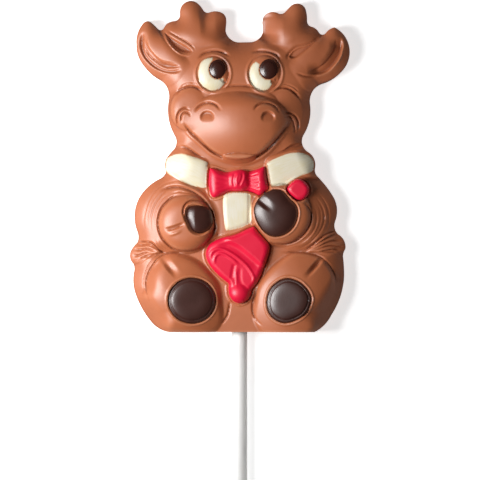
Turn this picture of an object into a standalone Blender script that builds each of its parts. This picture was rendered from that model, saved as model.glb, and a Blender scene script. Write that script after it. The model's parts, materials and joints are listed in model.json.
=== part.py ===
"""Chocolate lollipop: a moulded reindeer on a paper stick, with white, dark and red chocolate let into its face.

The figure lies on its flat back. X runs across it, Y runs up it and +Z is the moulded side.
The tables of shapes are in millimetres, measured from the middle of the figure's base line.
"""

import math

import bmesh
import bpy
import numpy as np
from mathutils import Vector
from mathutils.geometry import delaunay_2d_cdt

MM = 0.001

STICK_DIAMETER = 4.5
STICK_LENGTH = 150.0
STICK_SHOWING = 100.0
STICK_AXIS_HEIGHT = 3.2
FIT_GAP = 0.3
INLAY_GAP = 0.36

RIM_HEIGHT = 2.6
FOOT_RIM_HEIGHT = 6.7
SLAB_HEIGHT = 7.0
SLAB_ROUNDING = 3.2

OUTLINE_STEP = 1.25
INLAY_STEP = 1.05
INLAY_GRID = 1.35
GRID_PITCH = 1.45
FORM_STEP = 1.1
RIM_ROWS = (0.4, 1.3, 2.5)
FORM_ROWS = (0.0, 0.8)
ROW_CLEARANCE = 0.62

# The figure's edge, anticlockwise from the right end of its base.
# Each arc starts at x, y and bulges out to the right of its run by its third number.
RIGHT_HIP = [(21.0, 0.0, 0.6), (25.8, 4.8, 0.75), (29.35, 15.5, 0.1), (29.0, 21.3, -0.15)]
RIGHT_TUFT = [(29.7, 23.2, 0.75), (27.6, 27.4, -0.6)]
RIGHT_ARM = [(26.9, 31.2, 0.7), (26.4, 37.7, 0.26), (21.7, 43.7, -0.2)]
RIGHT_NECK = [(21.1, 45.6, 0.8), (19.4, 50.3, -1.05), (17.9, 55.1, 0.75), (19.8, 63.5, -1.55)]
RIGHT_EAR = [(24.0, 70.1, 0.5), (29.5, 74.0, 1.2), (29.9, 82.3, 0.35), (26.6, 85.4, 0.2), (24.3, 84.0, -0.65)]
RIGHT_ANTLER = [
    (22.3, 83.9, 0.35), (19.9, 85.65, -0.3), (18.95, 87.2, 0.15), (18.5, 90.6, 1.1), (14.3, 91.3, 0.0),
    (12.9, 89.8, -0.35), (11.0, 89.25, 0.6), (7.2, 89.0, 0.25), (6.5, 87.2, -0.05), (6.65, 84.6, -1.0),
]
CROWN = [(2.8, 81.2, 0.0), (-0.5, 81.15, -0.85)]
LEFT_ANTLER = [
    (-3.95, 84.7, -0.05), (-3.7, 87.5, 0.4), (-5.2, 89.6, 0.35), (-8.6, 89.5, -0.25), (-10.1, 90.1, 0.1),
    (-11.6, 92.0, 0.95), (-16.0, 91.7, 0.3), (-16.7, 89.0, -0.4), (-17.9, 87.15, 0.2), (-20.4, 86.4, 0.05),
    (-21.2, 85.2, -0.5),
]
LEFT_EAR = [
    (-22.9, 84.95, 0.05), (-24.6, 86.6, 0.6), (-27.0, 86.5, 0.65), (-28.9, 80.5, 0.55), (-27.0, 74.8, 0.35),
    (-22.6, 71.0, -1.0),
]
LEFT_NECK = [(-19.8, 65.0, 0.95), (-18.1, 54.9, -0.75), (-18.8, 50.8, 0.05), (-20.6, 48.5, 0.35), (-20.6, 44.7, -0.15)]
LEFT_ARM = [(-22.0, 43.1, 0.7), (-28.3, 37.3, 1.0), (-28.6, 28.0, -0.25), (-28.6, 25.1, 0.1)]
LEFT_TUFT = [(-30.0, 23.5, 0.9), (-29.7, 19.0, -0.1)]
LEFT_HIP = [(-29.5, 17.3, 0.45), (-29.2, 10.8, 0.5), (-24.3, 2.3, 0.4), (-19.8, 0.0, 0.0)]
FIGURE_EDGE = (
    RIGHT_HIP + RIGHT_TUFT + RIGHT_ARM + RIGHT_NECK + RIGHT_EAR + RIGHT_ANTLER + CROWN
    + LEFT_ANTLER + LEFT_EAR + LEFT_NECK + LEFT_ARM + LEFT_TUFT + LEFT_HIP
)


def arc_chain(stations, step):
    """Points, as complex numbers, along a closed chain of arcs given by their starts and bulges."""
    loop = []
    for (x0, y0, bulge), (x1, y1, _) in zip(stations, stations[1:] + stations[:1]):
        start, end = complex(x0, y0), complex(x1, y1)
        chord = abs(end - start)
        turn = 4 * math.atan2(2 * bulge, chord)
        t = np.arange(max(1, round(chord / step))) / max(1, round(chord / step))
        if abs(turn) < 1e-6:
            loop.append(start + (end - start) * t)
        else:
            swing = np.exp(-0.5j * turn * (1 - t)) * np.sin(turn * t / 2) / math.sin(turn / 2)
            loop.append(start + (end - start) * swing)
    return np.concatenate(loop)


def curve_through(points, closed=True, step=0.6):
    """Points along a smooth curve that passes through the given ones."""
    knots = [complex(x, y) for x, y in points]
    before = [knots[-1] if closed else 2 * knots[0] - knots[1]]
    after = [knots[0], knots[1]] if closed else [2 * knots[-1] - knots[-2]]
    run = before + knots + after
    line = []
    for p0, p1, p2, p3 in zip(run, run[1:], run[2:], run[3:]):
        t = np.arange(max(2, round(abs(p2 - p1) / step))) / max(2, round(abs(p2 - p1) / step))
        line.append(0.5 * (2 * p1 + (p2 - p0) * t + (2 * p0 - 5 * p1 + 4 * p2 - p3) * t**2
                           + (3 * p1 - p0 - 3 * p2 + p3) * t**3))
    if not closed:
        line.append(np.array([knots[-1]]))
    return np.concatenate(line)


def oval(x, y, half_width, half_height, turn=0.0):
    """Points round an ellipse."""
    angle = np.linspace(0, 2 * math.pi, max(12, round(10 * max(half_width, half_height))), endpoint=False)
    ring = half_width * np.cos(angle) + 1j * half_height * np.sin(angle)
    return complex(x, y) + ring * np.exp(1j * math.radians(turn))


def evenly(loop, step):
    """The closed loop again, with its points one step apart."""
    ring = np.append(loop, loop[0])
    run = np.concatenate([[0], np.cumsum(np.abs(np.diff(ring)))])
    at = np.linspace(0, run[-1], round(run[-1] / step), endpoint=False)
    return np.interp(at, run, ring.real) + 1j * np.interp(at, run, ring.imag)


FIGURE_LOOP = evenly(arc_chain(FIGURE_EDGE, 0.3), OUTLINE_STEP)
CENTRE_X = (FIGURE_LOOP.real.min() + FIGURE_LOOP.real.max()) / 2
BASE_Y = (STICK_SHOWING - FIGURE_LOOP.imag.max()) / 2


def inside(spots, loop):
    """Which of the spots lie inside a closed loop."""
    odd = np.zeros(len(spots), bool)
    for a, b in zip(loop, np.roll(loop, -1)):
        if a.imag != b.imag:
            level = (a.imag > spots.imag) != (b.imag > spots.imag)
            odd ^= level & (spots.real < a.real + (spots.imag - a.imag) * (b.real - a.real) / (b.imag - a.imag))
    return odd


def distance_to(spots, line, closed=True):
    """How far each spot is from a line, and how far along it the nearest point lies, from 0 to 1."""
    ends = np.roll(line, -1) if closed else line[1:]
    starts = line if closed else line[:-1]
    best = np.full(len(spots), 1e9)
    along = np.zeros(len(spots))
    for index, (a, b) in enumerate(zip(starts, ends)):
        reach = abs(b - a)
        local = (spots - a) * np.conj(b - a) / reach
        foot = np.clip(local.real, 0, reach)
        gap = np.hypot(local.real - foot, local.imag)
        nearer = gap < best
        best[nearer] = gap[nearer]
        along[nearer] = (index + foot[nearer] / reach) / len(starts)
    return best, along


def signed_depth(spots, loop):
    """How far inside a closed loop each spot is; less than zero outside it."""
    return distance_to(spots, loop)[0] * np.where(inside(spots, loop), 1, -1)


def rounded_depth(spots, loop):
    """A depth that is smooth over the middle of a shape: half the radius at the centre of a disc."""
    total = np.zeros(len(spots))
    for a, b in zip(loop, np.roll(loop, -1)):
        reach = abs(b - a)
        local = (spots - a) * np.conj(b - a) / reach
        off = np.abs(local.imag) + 1e-5
        total += (np.arctan(local.real / off) - np.arctan((local.real - reach) / off)) / off
    return math.pi / total * np.where(inside(spots, loop), 1, -1)


def ease(t):
    t = np.clip(t, 0, 1)
    return t * t * (3 - 2 * t)


def higher(a, b, blend):
    """The higher of two surfaces, with the crease between them filled."""
    share = np.clip(0.5 + 0.5 * (a - b) / blend, 0, 1)
    return a * share + b * (1 - share) + blend * share * (1 - share)


def near(spots, line, margin):
    across = (spots.real > line.real.min() - margin) & (spots.real < line.real.max() + margin)
    return np.nonzero(across & (spots.imag > line.imag.min() - margin) & (spots.imag < line.imag.max() + margin))[0]


def lay_dome(height, spots, loop, edge, crown, width, blend=0.4):
    """Lays a rounded form over the surface, from its edge height up to its crown."""
    here = near(spots, loop, 2.0)
    depth = rounded_depth(spots[here], loop)
    t = np.clip(depth / width, 0, 1)
    top = edge + (crown - edge) * np.sqrt(1 - (1 - t)**2) + np.minimum(depth, 0) * 1.5
    height[here] = higher(height[here], top, blend)


def hold_down(height, spots, loop, level, slope):
    """Keeps the surface under a level inside the loop and under a slope that climbs away outside it."""
    here = near(spots, loop, 3.5)
    away = np.maximum(-signed_depth(spots[here], loop), 0)
    height[here] = -higher(-height[here], -(level + slope * away), 0.3)


def press(height, spots, line, width, depth, taper=0.25):
    """Presses a rounded groove along an open line, running out at both ends."""
    here = near(spots, line, width)
    away, along = distance_to(spots[here], line, closed=False)
    height[here] -= depth * ease(1 - away / width) * ease(along / taper) * ease((1 - along) / taper)


# The coloured chocolate let into the face.
EYE_LEFT = oval(-7.5, 72.4, 4.3, 4.7)
EYE_RIGHT = oval(7.2, 72.4, 4.4, 4.7)
PUPIL_LEFT = (-6.25, 73.55, 2.35, 2.5)
PUPIL_RIGHT = (8.1, 73.2, 2.5, 2.75)


def crescent(outer, pupil, start, end):
    """A crescent whose outer edge runs through some points and whose inner edge goes round a pupil."""
    x, y, half_width, half_height = pupil
    angle = np.radians(np.linspace(start, end, 14))
    inner = (half_width + INLAY_GAP) * np.cos(angle) + 1j * (half_height + INLAY_GAP) * np.sin(angle)
    return np.concatenate([curve_through(outer, closed=False), complex(x, y) + inner])


INLAYS = {
    "eye_white_left": crescent([
        (-8.0, 76.4), (-10.4, 75.6), (-11.5, 72.2), (-10.5, 69.4), (-7.8, 68.0), (-5.4, 68.7), (-4.4, 69.8)],
        PUPIL_LEFT, -62, -225),
    "pupil_left": oval(*PUPIL_LEFT),
    "eye_white_right": crescent([
        (4.7, 75.3), (3.3, 73.6), (3.0, 70.8), (4.4, 68.6), (6.5, 68.0), (8.0, 68.5), (8.8, 69.4)],
        PUPIL_RIGHT, -82, -208),
    "pupil_right": oval(*PUPIL_RIGHT),
    "collar_left": curve_through([
        (-20.3, 48.0), (-18.6, 49.6), (-15.0, 49.8), (-11.2, 48.6), (-9.6, 47.4), (-9.45, 44.0), (-9.7, 40.9),
        (-13.0, 41.4), (-17.0, 42.8), (-20.2, 44.9)]),
    "collar_right": curve_through([
        (8.5, 47.3), (11.0, 49.2), (15.0, 50.1), (18.7, 49.6), (20.5, 47.6), (20.2, 45.3), (17.0, 44.2),
        (14.2, 42.6), (11.4, 41.1), (9.5, 41.3), (8.5, 44.0)]),
    "bow_tie": curve_through([
        (-7.9, 45.5), (-4.0, 44.7), (0.0, 45.3), (3.5, 45.3), (6.8, 46.0), (7.4, 43.2), (7.9, 40.5), (5.9, 38.8),
        (3.0, 39.7), (-1.5, 39.7), (-4.5, 38.5), (-7.5, 37.9), (-8.3, 42.0)]),
    "placket": curve_through([
        (-4.6, 38.0), (-4.7, 34.0), (-4.1, 28.3), (0.0, 29.0), (2.9, 30.5), (3.2, 35.0), (3.0, 39.1), (-2.0, 39.1)]),
    "hat": curve_through([
        (3.6, 29.7), (5.8, 27.7), (8.5, 24.5), (8.1, 21.3), (6.2, 17.5), (5.0, 13.6), (3.2, 11.6), (2.4, 9.2),
        (0.0, 8.0), (-2.7, 9.8), (-3.0, 13.8), (-6.0, 16.3), (-9.0, 20.9), (-8.3, 24.2), (-4.5, 26.3), (0.0, 28.1)]),
    "paw_pad_left": oval(-11.2, 31.5, 3.65, 3.8),
    "paw_pad_right": curve_through([
        (4.3, 33.5), (5.6, 37.0), (7.6, 38.9), (10.4, 39.9), (12.8, 39.4), (13.9, 37.9), (15.4, 36.6), (16.4, 33.0),
        (14.6, 28.7), (10.4, 27.0), (6.3, 28.9)]),
    "red_button": oval(16.4, 39.8, 2.85, 2.85),
    "sole_left": oval(-13.2, 8.8, 6.55, 6.25),
    "sole_right": curve_through([
        (7.8, 8.6), (9.4, 13.0), (13.2, 14.9), (17.4, 13.4), (19.8, 9.4), (17.8, 5.0), (13.0, 2.8), (8.9, 4.8)]),
}

# Pockets: the pieces that share one, and how far its bottom lies under the lowest point of its edge.
POCKETS = [
    (("eye_white_left", "pupil_left"), 0.8), (("eye_white_right", "pupil_right"), 0.8),
    (("collar_left",), 1.0), (("collar_right",), 1.0), (("placket", "bow_tie", "hat"), 0.6),
    (("paw_pad_left",), 0.8), (("paw_pad_right", "red_button"), 0.8), (("sole_left",), 0.8), (("sole_right",), 0.8),
]

WHITE = ((0.87, 0.84, 0.70), 0.45)
DARK = ((0.025, 0.010, 0.009), 0.3)
RED = ((0.70, 0.008, 0.045), 0.35)
TINTS = {
    "eye_white_left": WHITE, "eye_white_right": WHITE, "collar_left": WHITE, "collar_right": WHITE, "placket": WHITE,
    "pupil_left": DARK, "pupil_right": DARK, "paw_pad_left": DARK, "paw_pad_right": DARK, "sole_left": DARK,
    "sole_right": DARK, "bow_tie": RED, "hat": RED, "red_button": RED,
}

# Rounded forms of the figure, lowest first: outline, height at the edge, height at the crown, rounding, blend.
FORMS = [
    # antlers
    (curve_through([
        (-21.5, 84.6), (-17.5, 87.2), (-16.0, 91.8), (-13.0, 92.9), (-9.1, 89.5), (-5.0, 89.7), (-3.8, 85.0),
        (-1.0, 79.0), (-9.0, 78.0), (-14.5, 78.5), (-18.5, 82.3)]), 3.6, 8.3, 3.6, 0.6),
    (curve_through([
        (6.2, 83.0), (7.0, 88.8), (12.5, 89.4), (16.8, 92.0), (19.0, 86.8), (22.6, 83.6), (16.0, 79.7),
        (13.0, 77.0), (3.0, 79.0)]), 3.6, 8.3, 3.6, 0.6),
    # head
    (curve_through([
        (-17.8, 54.0), (-20.0, 61.0), (-20.6, 70.0), (-13.0, 79.0), (0.0, 81.6), (13.0, 79.0), (20.6, 70.0),
        (20.0, 60.0), (17.8, 54.0), (12.0, 50.4), (7.0, 47.2), (0.0, 46.1), (-7.5, 46.8), (-12.5, 50.0)]),
     4.2, 9.4, 8.0, 0.6),
    # ears
    (curve_through([
        (-19.5, 69.8), (-27.0, 74.6), (-28.8, 81.0), (-26.4, 87.0), (-21.0, 81.7), (-15.5, 77.0), (-15.0, 73.0)]),
     3.6, 8.8, 3.4, 0.5),
    (curve_through([
        (19.5, 68.5), (28.5, 73.4), (30.8, 79.0), (27.0, 85.4), (22.5, 81.8), (15.5, 78.0), (15.0, 72.0)]),
     3.6, 8.8, 3.4, 0.5),
    # cheeks, the fold over the nose, the muzzle and the lower lip
    (oval(-14.0, 63.0, 4.9, 5.6), 7.4, 10.8, 2.6, 0.8),
    (oval(14.2, 62.6, 4.9, 5.6), 7.4, 10.8, 2.6, 0.8),
    (oval(0.5, 64.0, 10.5, 4.9), 8.6, 10.4, 1.6, 0.5),
    (curve_through([
        (-15.3, 58.3), (-11.5, 64.6), (-6.0, 66.8), (0.0, 67.6), (6.0, 66.6), (11.5, 64.0), (14.0, 58.3),
        (8.0, 51.0), (0.0, 47.6), (-7.7, 50.5)]), 8.4, 14.4, 6.4, 0.6),
    (oval(0.0, 48.9, 4.4, 1.2), 10.2, 11.4, 0.5, 0.3),
    # arms and paws
    (curve_through([
        (-28.6, 26.5), (-28.9, 36.5), (-22.0, 43.0), (-12.0, 40.8), (-5.8, 34.0), (-7.0, 25.8), (-16.0, 22.3),
        (-25.0, 23.8)]), 4.6, 10.0, 7.0, 0.6),
    (curve_through([
        (27.0, 29.0), (26.4, 38.0), (19.0, 43.9), (10.0, 41.2), (4.0, 37.5), (4.0, 29.5), (10.0, 24.3),
        (20.0, 23.8)]), 4.6, 10.0, 7.0, 0.6),
    (oval(-14.9, 30.7, 7.9, 7.9), 8.0, 12.2, 3.6, 0.3),
    (oval(11.7, 32.7, 8.4, 8.5), 8.0, 11.2, 3.4, 0.3),
    # tail tufts
    (curve_through([(-30.2, 21.6), (-28.8, 25.3), (-22.5, 22.6), (-26.5, 19.4), (-29.4, 18.9)]), 4.0, 7.8, 1.6, 0.4),
    (curve_through([(29.5, 23.6), (24.5, 21.9), (18.5, 22.5), (22.5, 26.5), (27.2, 27.8)]), 4.0, 7.8, 1.6, 0.4),
    # feet
    (curve_through([
        (-16.0, 22.5), (-23.0, 20.2), (-26.0, 13.0), (-23.8, 5.0), (-18.0, 0.6), (-9.0, 0.7), (-4.4, 4.5),
        (-5.0, 14.0), (-9.5, 20.4)]), 5.0, 12.8, 5.4, 0.4),
    (curve_through([
        (15.5, 22.4), (22.6, 21.0), (27.0, 13.5), (25.4, 6.0), (20.5, 0.8), (9.5, 0.5), (4.4, 4.5), (5.0, 12.0),
        (9.2, 19.2)]), 5.0, 12.8, 5.4, 0.4),
    # collar
    (curve_through([
        (-20.9, 47.6), (-18.0, 50.2), (-13.0, 49.8), (-8.9, 47.9), (-8.8, 40.4), (-13.5, 40.8), (-20.6, 44.3)]),
     5.6, 8.8, 2.6, 0.5),
    (curve_through([
        (7.7, 47.7), (12.0, 50.0), (18.0, 50.4), (21.1, 47.3), (20.2, 44.4), (14.5, 42.1), (9.0, 40.5)]),
     5.6, 8.8, 2.6, 0.5),
]

# Pieces that stand in a groove: height of the groove, its slope, the piece's edge, its crown, its rounding.
PROUD_PIECES = {
    "placket": (7.0, 3.0, 7.5, 8.0, 1.0),
    "bow_tie": (7.3, 3.0, 8.6, 9.9, 1.5),
    "hat": (7.2, 2.4, 8.4, 10.4, 2.2),
    "paw_pad_left": (8.6, 3.0, 9.0, 10.6, 1.8),
    "paw_pad_right": (9.6, 3.0, 10.2, 12.6, 2.8),
    "red_button": (9.2, 3.5, 10.4, 12.2, 1.4),
    "sole_left": (10.4, 3.2, 10.9, 12.0, 2.6),
    "sole_right": (10.4, 3.2, 10.9, 12.0, 2.6),
}

# Grooves: the line, half its width, its depth.
GROOVES = {
    "smile": (curve_through([
        (-15.6, 58.6), (-11.7, 54.2), (-7.7, 50.6), (-4.0, 48.6), (0.0, 47.7), (4.0, 48.6), (8.0, 51.2),
        (11.5, 55.2), (13.9, 58.8)], closed=False), 0.9, 0.9),
    "nostril_arc_left": (curve_through([
        (-12.7, 61.3), (-10.8, 63.4), (-8.3, 64.1), (-5.0, 61.6)], closed=False), 0.8, 0.5),
    "nostril_arc_right": (curve_through([
        (3.8, 61.6), (6.2, 63.8), (8.8, 63.7), (11.4, 61.0)], closed=False), 0.8, 0.5),
    "mouth_corner_left": (curve_through([
        (-17.2, 56.6), (-17.4, 60.4), (-15.4, 62.6), (-13.6, 61.0)], closed=False), 0.8, 0.6),
    "mouth_corner_right": (curve_through([
        (16.3, 56.0), (16.4, 58.8), (14.6, 61.0), (12.2, 60.6)], closed=False), 0.8, 0.6),
    "brow_left": (curve_through([(-11.4, 77.0), (-9.0, 78.3), (-6.0, 78.5), (-2.8, 77.2)], closed=False), 0.8, 0.5),
    "brow_right": (curve_through([(3.6, 78.0), (6.8, 78.6), (9.6, 77.8), (11.4, 76.2)], closed=False), 0.8, 0.5),
    "ear_left": (curve_through([
        (-26.9, 84.4), (-26.9, 79.6), (-24.2, 75.8), (-20.0, 73.7), (-16.0, 73.9)], closed=False), 1.5, 1.5),
    "ear_right": (curve_through([
        (27.3, 82.6), (26.6, 78.6), (24.0, 75.2), (20.5, 73.2), (16.4, 72.6)], closed=False), 1.5, 1.5),
    "ear_fold_left": (curve_through([
        (-21.6, 84.6), (-19.3, 81.4), (-16.8, 79.0), (-13.2, 78.2)], closed=False), 1.3, 1.4),
    "ear_fold_right": (curve_through([
        (22.8, 82.6), (19.5, 80.2), (16.2, 78.9), (14.0, 76.4)], closed=False), 1.0, 0.8),
    "sleeve_left": (curve_through([
        (-26.2, 27.5), (-25.6, 35.5), (-21.0, 40.7), (-14.0, 40.5), (-8.4, 36.8)], closed=False), 0.8, 0.4),
    "sleeve_right": (curve_through([
        (21.4, 39.4), (23.3, 34.5), (22.4, 28.8), (18.6, 24.8)], closed=False), 0.8, 0.4),
    "paw_crease": (curve_through([(-20.9, 28.3), (-18.2, 29.2), (-15.3, 30.1)], closed=False), 0.7, 0.6),
    "toe_left": (curve_through([(-21.0, 20.4), (-19.4, 18.2), (-17.6, 15.9)], closed=False), 0.9, 0.9),
    "toe_right": (curve_through([(22.2, 19.9), (20.6, 17.6), (18.9, 15.3)], closed=False), 0.9, 0.9),
}


def relief(spots):
    """The height of the moulded face over each spot."""
    depth = np.maximum(rounded_depth(spots, FIGURE_LOOP), 0)
    at_base = ease((7 - spots.imag) / 5) * ease((25 - np.abs(spots.real - 0.6)) / 6)
    rim = RIM_HEIGHT + (FOOT_RIM_HEIGHT - RIM_HEIGHT) * at_base
    height = rim + (SLAB_HEIGHT - rim) * np.sqrt(1 - (1 - np.clip(depth / SLAB_ROUNDING, 0, 1))**2)
    for loop, edge, crown, width, blend in FORMS:
        lay_dome(height, spots, loop, edge, crown, width, blend)
    for eye in (EYE_LEFT, EYE_RIGHT):
        hold_down(height, spots, eye, 7.2, 3.0)
        lay_dome(height, spots, eye, 7.3, 9.0, 2.2, 0.1)
    for pupil in ("pupil_left", "pupil_right"):
        lay_dome(height, spots, INLAYS[pupil], 8.7, 9.8, 1.2, 0.1)
    for line, width, groove_depth in GROOVES.values():
        press(height, spots, line, width, groove_depth)
    for name, (level, slope, edge, crown, width) in PROUD_PIECES.items():
        hold_down(height, spots, INLAYS[name], level, slope)
        lay_dome(height, spots, INLAYS[name], edge, crown, width, 0.1)
    return height


def loop_turn(loop):
    """1 for a loop that runs anticlockwise, -1 for one that runs clockwise."""
    ahead = np.roll(loop, -1)
    return 1 if np.sum(loop.real * ahead.imag - loop.imag * ahead.real) > 0 else -1


def moved_out(loop, distance):
    """The closed loop moved outwards by a distance, or inwards if it is negative, without tangles."""
    run = np.roll(loop, -1) - np.roll(loop, 1)
    moved = loop - 1j * run / np.abs(run) * distance * loop_turn(loop)
    return moved[distance_to(moved, loop)[0] >= abs(distance) * 0.95]


def joined(first, second):
    """One loop round two overlapping ones."""
    pieces = []
    for loop, other in ((first, second), (second, first)):
        loop = loop[::loop_turn(loop)]
        covered = inside(loop, other)
        start = np.nonzero(covered & ~np.roll(covered, -1))[0][0] + 1
        pieces.append(np.roll(loop, -start)[:np.count_nonzero(~covered)])
    return np.concatenate(pieces)


def triangle_grid(pitch, loop):
    """Points at the corners of equal triangles over the box round a loop."""
    row_height = pitch * math.sqrt(3) / 2
    rows = np.arange(loop.imag.min(), loop.imag.max(), row_height)
    columns = np.arange(loop.real.min(), loop.real.max(), pitch)
    return np.concatenate([columns + pitch / 2 * (index % 2) + 1j * y for index, y in enumerate(rows)])


def add_clear(kept, fresh, clearance):
    """The kept points and those fresh points that stay clear of them."""
    gap = np.array([np.min(np.abs(kept - spot)) for spot in fresh])
    return np.concatenate([kept, fresh[gap > clearance]])


def triangles(loops, loose):
    """Flat triangles over all the points, all anticlockwise, with every loop among their edges."""
    spots = np.concatenate(loops + [loose])
    edges = []
    first = 0
    for loop in loops:
        edges.extend((first + i, first + (i + 1) % len(loop)) for i in range(len(loop)))
        first += len(loop)
    flat = [Vector((spot.real, spot.imag)) for spot in spots]
    found, _, faces, *_ = delaunay_2d_cdt(flat, edges, [], 0, 1e-5)
    spots = np.array([complex(spot.x, spot.y) for spot in found])
    upright = []
    for a, b, c in faces:
        area = (np.conj(spots[b] - spots[a]) * (spots[c] - spots[a])).imag
        upright.append((a, b, c) if area > 0 else (a, c, b))
    return spots, upright


def build_solid(name, spots, faces, levels, heights, underside, material):
    """Raises flat triangles into a solid. heights[level] gives the height of every point on that level."""
    shape = bmesh.new()
    corners = {}

    def corner(point, level):
        if (point, level) not in corners:
            z = underside if level < 0 else heights[level][point]
            place = ((spots[point].real - CENTRE_X) * MM, (spots[point].imag + BASE_Y) * MM, z * MM)
            corners[point, level] = shape.verts.new(place)
        return corners[point, level]

    owner = {}
    for face, level in zip(faces, levels):
        if level >= 0:
            shape.faces.new([corner(point, level) for point in face])
            owner.update({(a, b): level for a, b in zip(face, face[1:] + face[:1])})
    skirt = {}
    for (a, b), level in owner.items():
        beyond = owner.get((b, a), -1)
        if beyond < 0:
            skirt[b] = a
        if beyond < 0 or beyond > level:
            shape.faces.new([corner(b, level), corner(a, level), corner(a, beyond), corner(b, beyond)])
    around = [next(iter(skirt))]
    while skirt[around[-1]] != around[0]:
        around.append(skirt[around[-1]])
    base = shape.faces.new([corner(point, -1) for point in around])
    bmesh.ops.triangulate(shape, faces=[base])
    bmesh.ops.triangulate(shape, faces=shape.faces[:])
    mesh = bpy.data.meshes.new(name)
    shape.to_mesh(mesh)
    shape.free()
    mesh.shade_smooth()
    mesh.set_sharp_from_angle(angle=math.radians(40))
    mesh.materials.append(material)
    solid = bpy.data.objects.new(name, mesh)
    bpy.context.collection.objects.link(solid)
    return solid


def chocolate(name, colour, roughness):
    material = bpy.data.materials.new(name)
    material.use_nodes = True
    shader = material.node_tree.nodes["Principled BSDF"]
    shader.inputs["Base Color"].default_value = (*colour, 1.0)
    shader.inputs["Roughness"].default_value = roughness
    shader.inputs["Metallic"].default_value = 0.0
    return material


def rod(name, radius, length, start_y, sides):
    """A round bar along Y from start_y, at the height of the stick."""
    shape = bmesh.new()
    bmesh.ops.create_cone(shape, cap_ends=True, segments=sides, radius1=radius * MM, radius2=radius * MM,
                          depth=length * MM)
    mesh = bpy.data.meshes.new(name)
    shape.to_mesh(mesh)
    shape.free()
    bar = bpy.data.objects.new(name, mesh)
    bpy.context.collection.objects.link(bar)
    bar.location = (-CENTRE_X * MM, (start_y + length / 2) * MM, STICK_AXIS_HEIGHT * MM)
    bar.rotation_euler.x = -math.pi / 2
    return bar


for leftover in list(bpy.data.objects):
    bpy.data.objects.remove(leftover)

inlay_loops = {name: evenly(loop[::loop_turn(loop)], INLAY_STEP) for name, loop in INLAYS.items()}

# Pockets: one loop round the pieces that share it, a fitting gap wider than they are.
pocket_loops = []
for names, _ in POCKETS:
    pocket = moved_out(inlay_loops[names[0]], FIT_GAP)
    for name in names[1:]:
        pocket = joined(pocket, moved_out(inlay_loops[name], FIT_GAP))
    pocket_loops.append(evenly(pocket, INLAY_STEP))

# The face's points: its edge, the pockets' edges, rows along the grooves, the rim and the forms, and a grid.
placed = np.concatenate([FIGURE_LOOP] + pocket_loops)
fixed_count = len(placed)
for line, width, _ in GROOVES.values():
    run = np.gradient(line)
    side = 1j * run / np.abs(run) * width
    for row in (line, line + side, line - side):
        placed = add_clear(placed, row[::2], ROW_CLEARANCE)
for inset in RIM_ROWS:
    placed = add_clear(placed, moved_out(FIGURE_LOOP, -inset), ROW_CLEARANCE)
for form in FORMS:
    for inset in FORM_ROWS:
        placed = add_clear(placed, moved_out(evenly(form[0], FORM_STEP), -inset), ROW_CLEARANCE)
placed = add_clear(placed, triangle_grid(GRID_PITCH, FIGURE_LOOP), GRID_PITCH * 0.6)
loose = placed[fixed_count:]
keep = inside(loose, FIGURE_LOOP)
for pocket in pocket_loops:
    keep &= ~inside(loose, pocket)
spots, faces = triangles([FIGURE_LOOP] + pocket_loops, loose[keep])
centres = np.array([(spots[a] + spots[b] + spots[c]) / 3 for a, b, c in faces])
levels = np.where(inside(centres, FIGURE_LOOP), 0, -1)
surface = relief(spots)
heights = [surface]
bottoms = {}
for index, (pocket, (names, depth)) in enumerate(zip(pocket_loops, POCKETS), start=1):
    bottom = relief(pocket).min() - depth
    levels[inside(centres, pocket)] = index
    heights.append(np.full(len(spots), bottom))
    bottoms.update({name: bottom for name in names})

milk = chocolate("milk_chocolate", (0.36, 0.115, 0.045), 0.38)
body = build_solid("reindeer", spots, faces, levels, heights, 0.0, milk)

socket_length = STICK_LENGTH - STICK_SHOWING + FIT_GAP
reach_out = 5.0
socket = rod("stick_socket", STICK_DIAMETER / 2 + FIT_GAP, socket_length + reach_out, BASE_Y - reach_out, 32)
socket.hide_render = True
socket.display_type = 'WIRE'
hole = body.modifiers.new("stick socket", 'BOOLEAN')
hole.operation = 'DIFFERENCE'
hole.solver = 'EXACT'
hole.object = socket

stick = rod("stick", STICK_DIAMETER / 2, STICK_LENGTH, BASE_Y - STICK_SHOWING, 48)
stick.data.materials.append(chocolate("rolled_paper", (0.86, 0.86, 0.84), 0.7))
stick.data.shade_smooth()
stick.data.set_sharp_from_angle(angle=math.radians(40))
rounding = stick.modifiers.new("rolled end", 'BEVEL')
rounding.width = 0.3 * MM
rounding.segments = 2
rounding.limit_method = 'ANGLE'

for name, loop in inlay_loops.items():
    inner = triangle_grid(INLAY_GRID, loop)
    inner = inner[inside(inner, loop)]
    loose = add_clear(loop, inner, INLAY_GRID * 0.6)[len(loop):]
    spots, faces = triangles([loop], loose)
    centres = np.array([(spots[a] + spots[b] + spots[c]) / 3 for a, b, c in faces])
    levels = np.where(inside(centres, loop), 0, -1)
    tint, roughness = TINTS[name]
    build_solid(name, spots, faces, levels, [relief(spots)], bottoms[name] + FIT_GAP,
                chocolate(name + "_chocolate", tint, roughness))
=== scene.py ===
"""Chocolate lollipop: a moulded reindeer of milk chocolate with coloured chocolate details, on a paper stick.

The pieces come in the order in which such a lollipop is made. The face of the mould comes first, the
coloured chocolate brushed into it is parted off it, the milk chocolate fills the rest, and the stick is laid
in last. Lengths are in millimetres until a mesh is written. Places on the figure are measured from the middle
of its base.
"""

import json
import math

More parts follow.
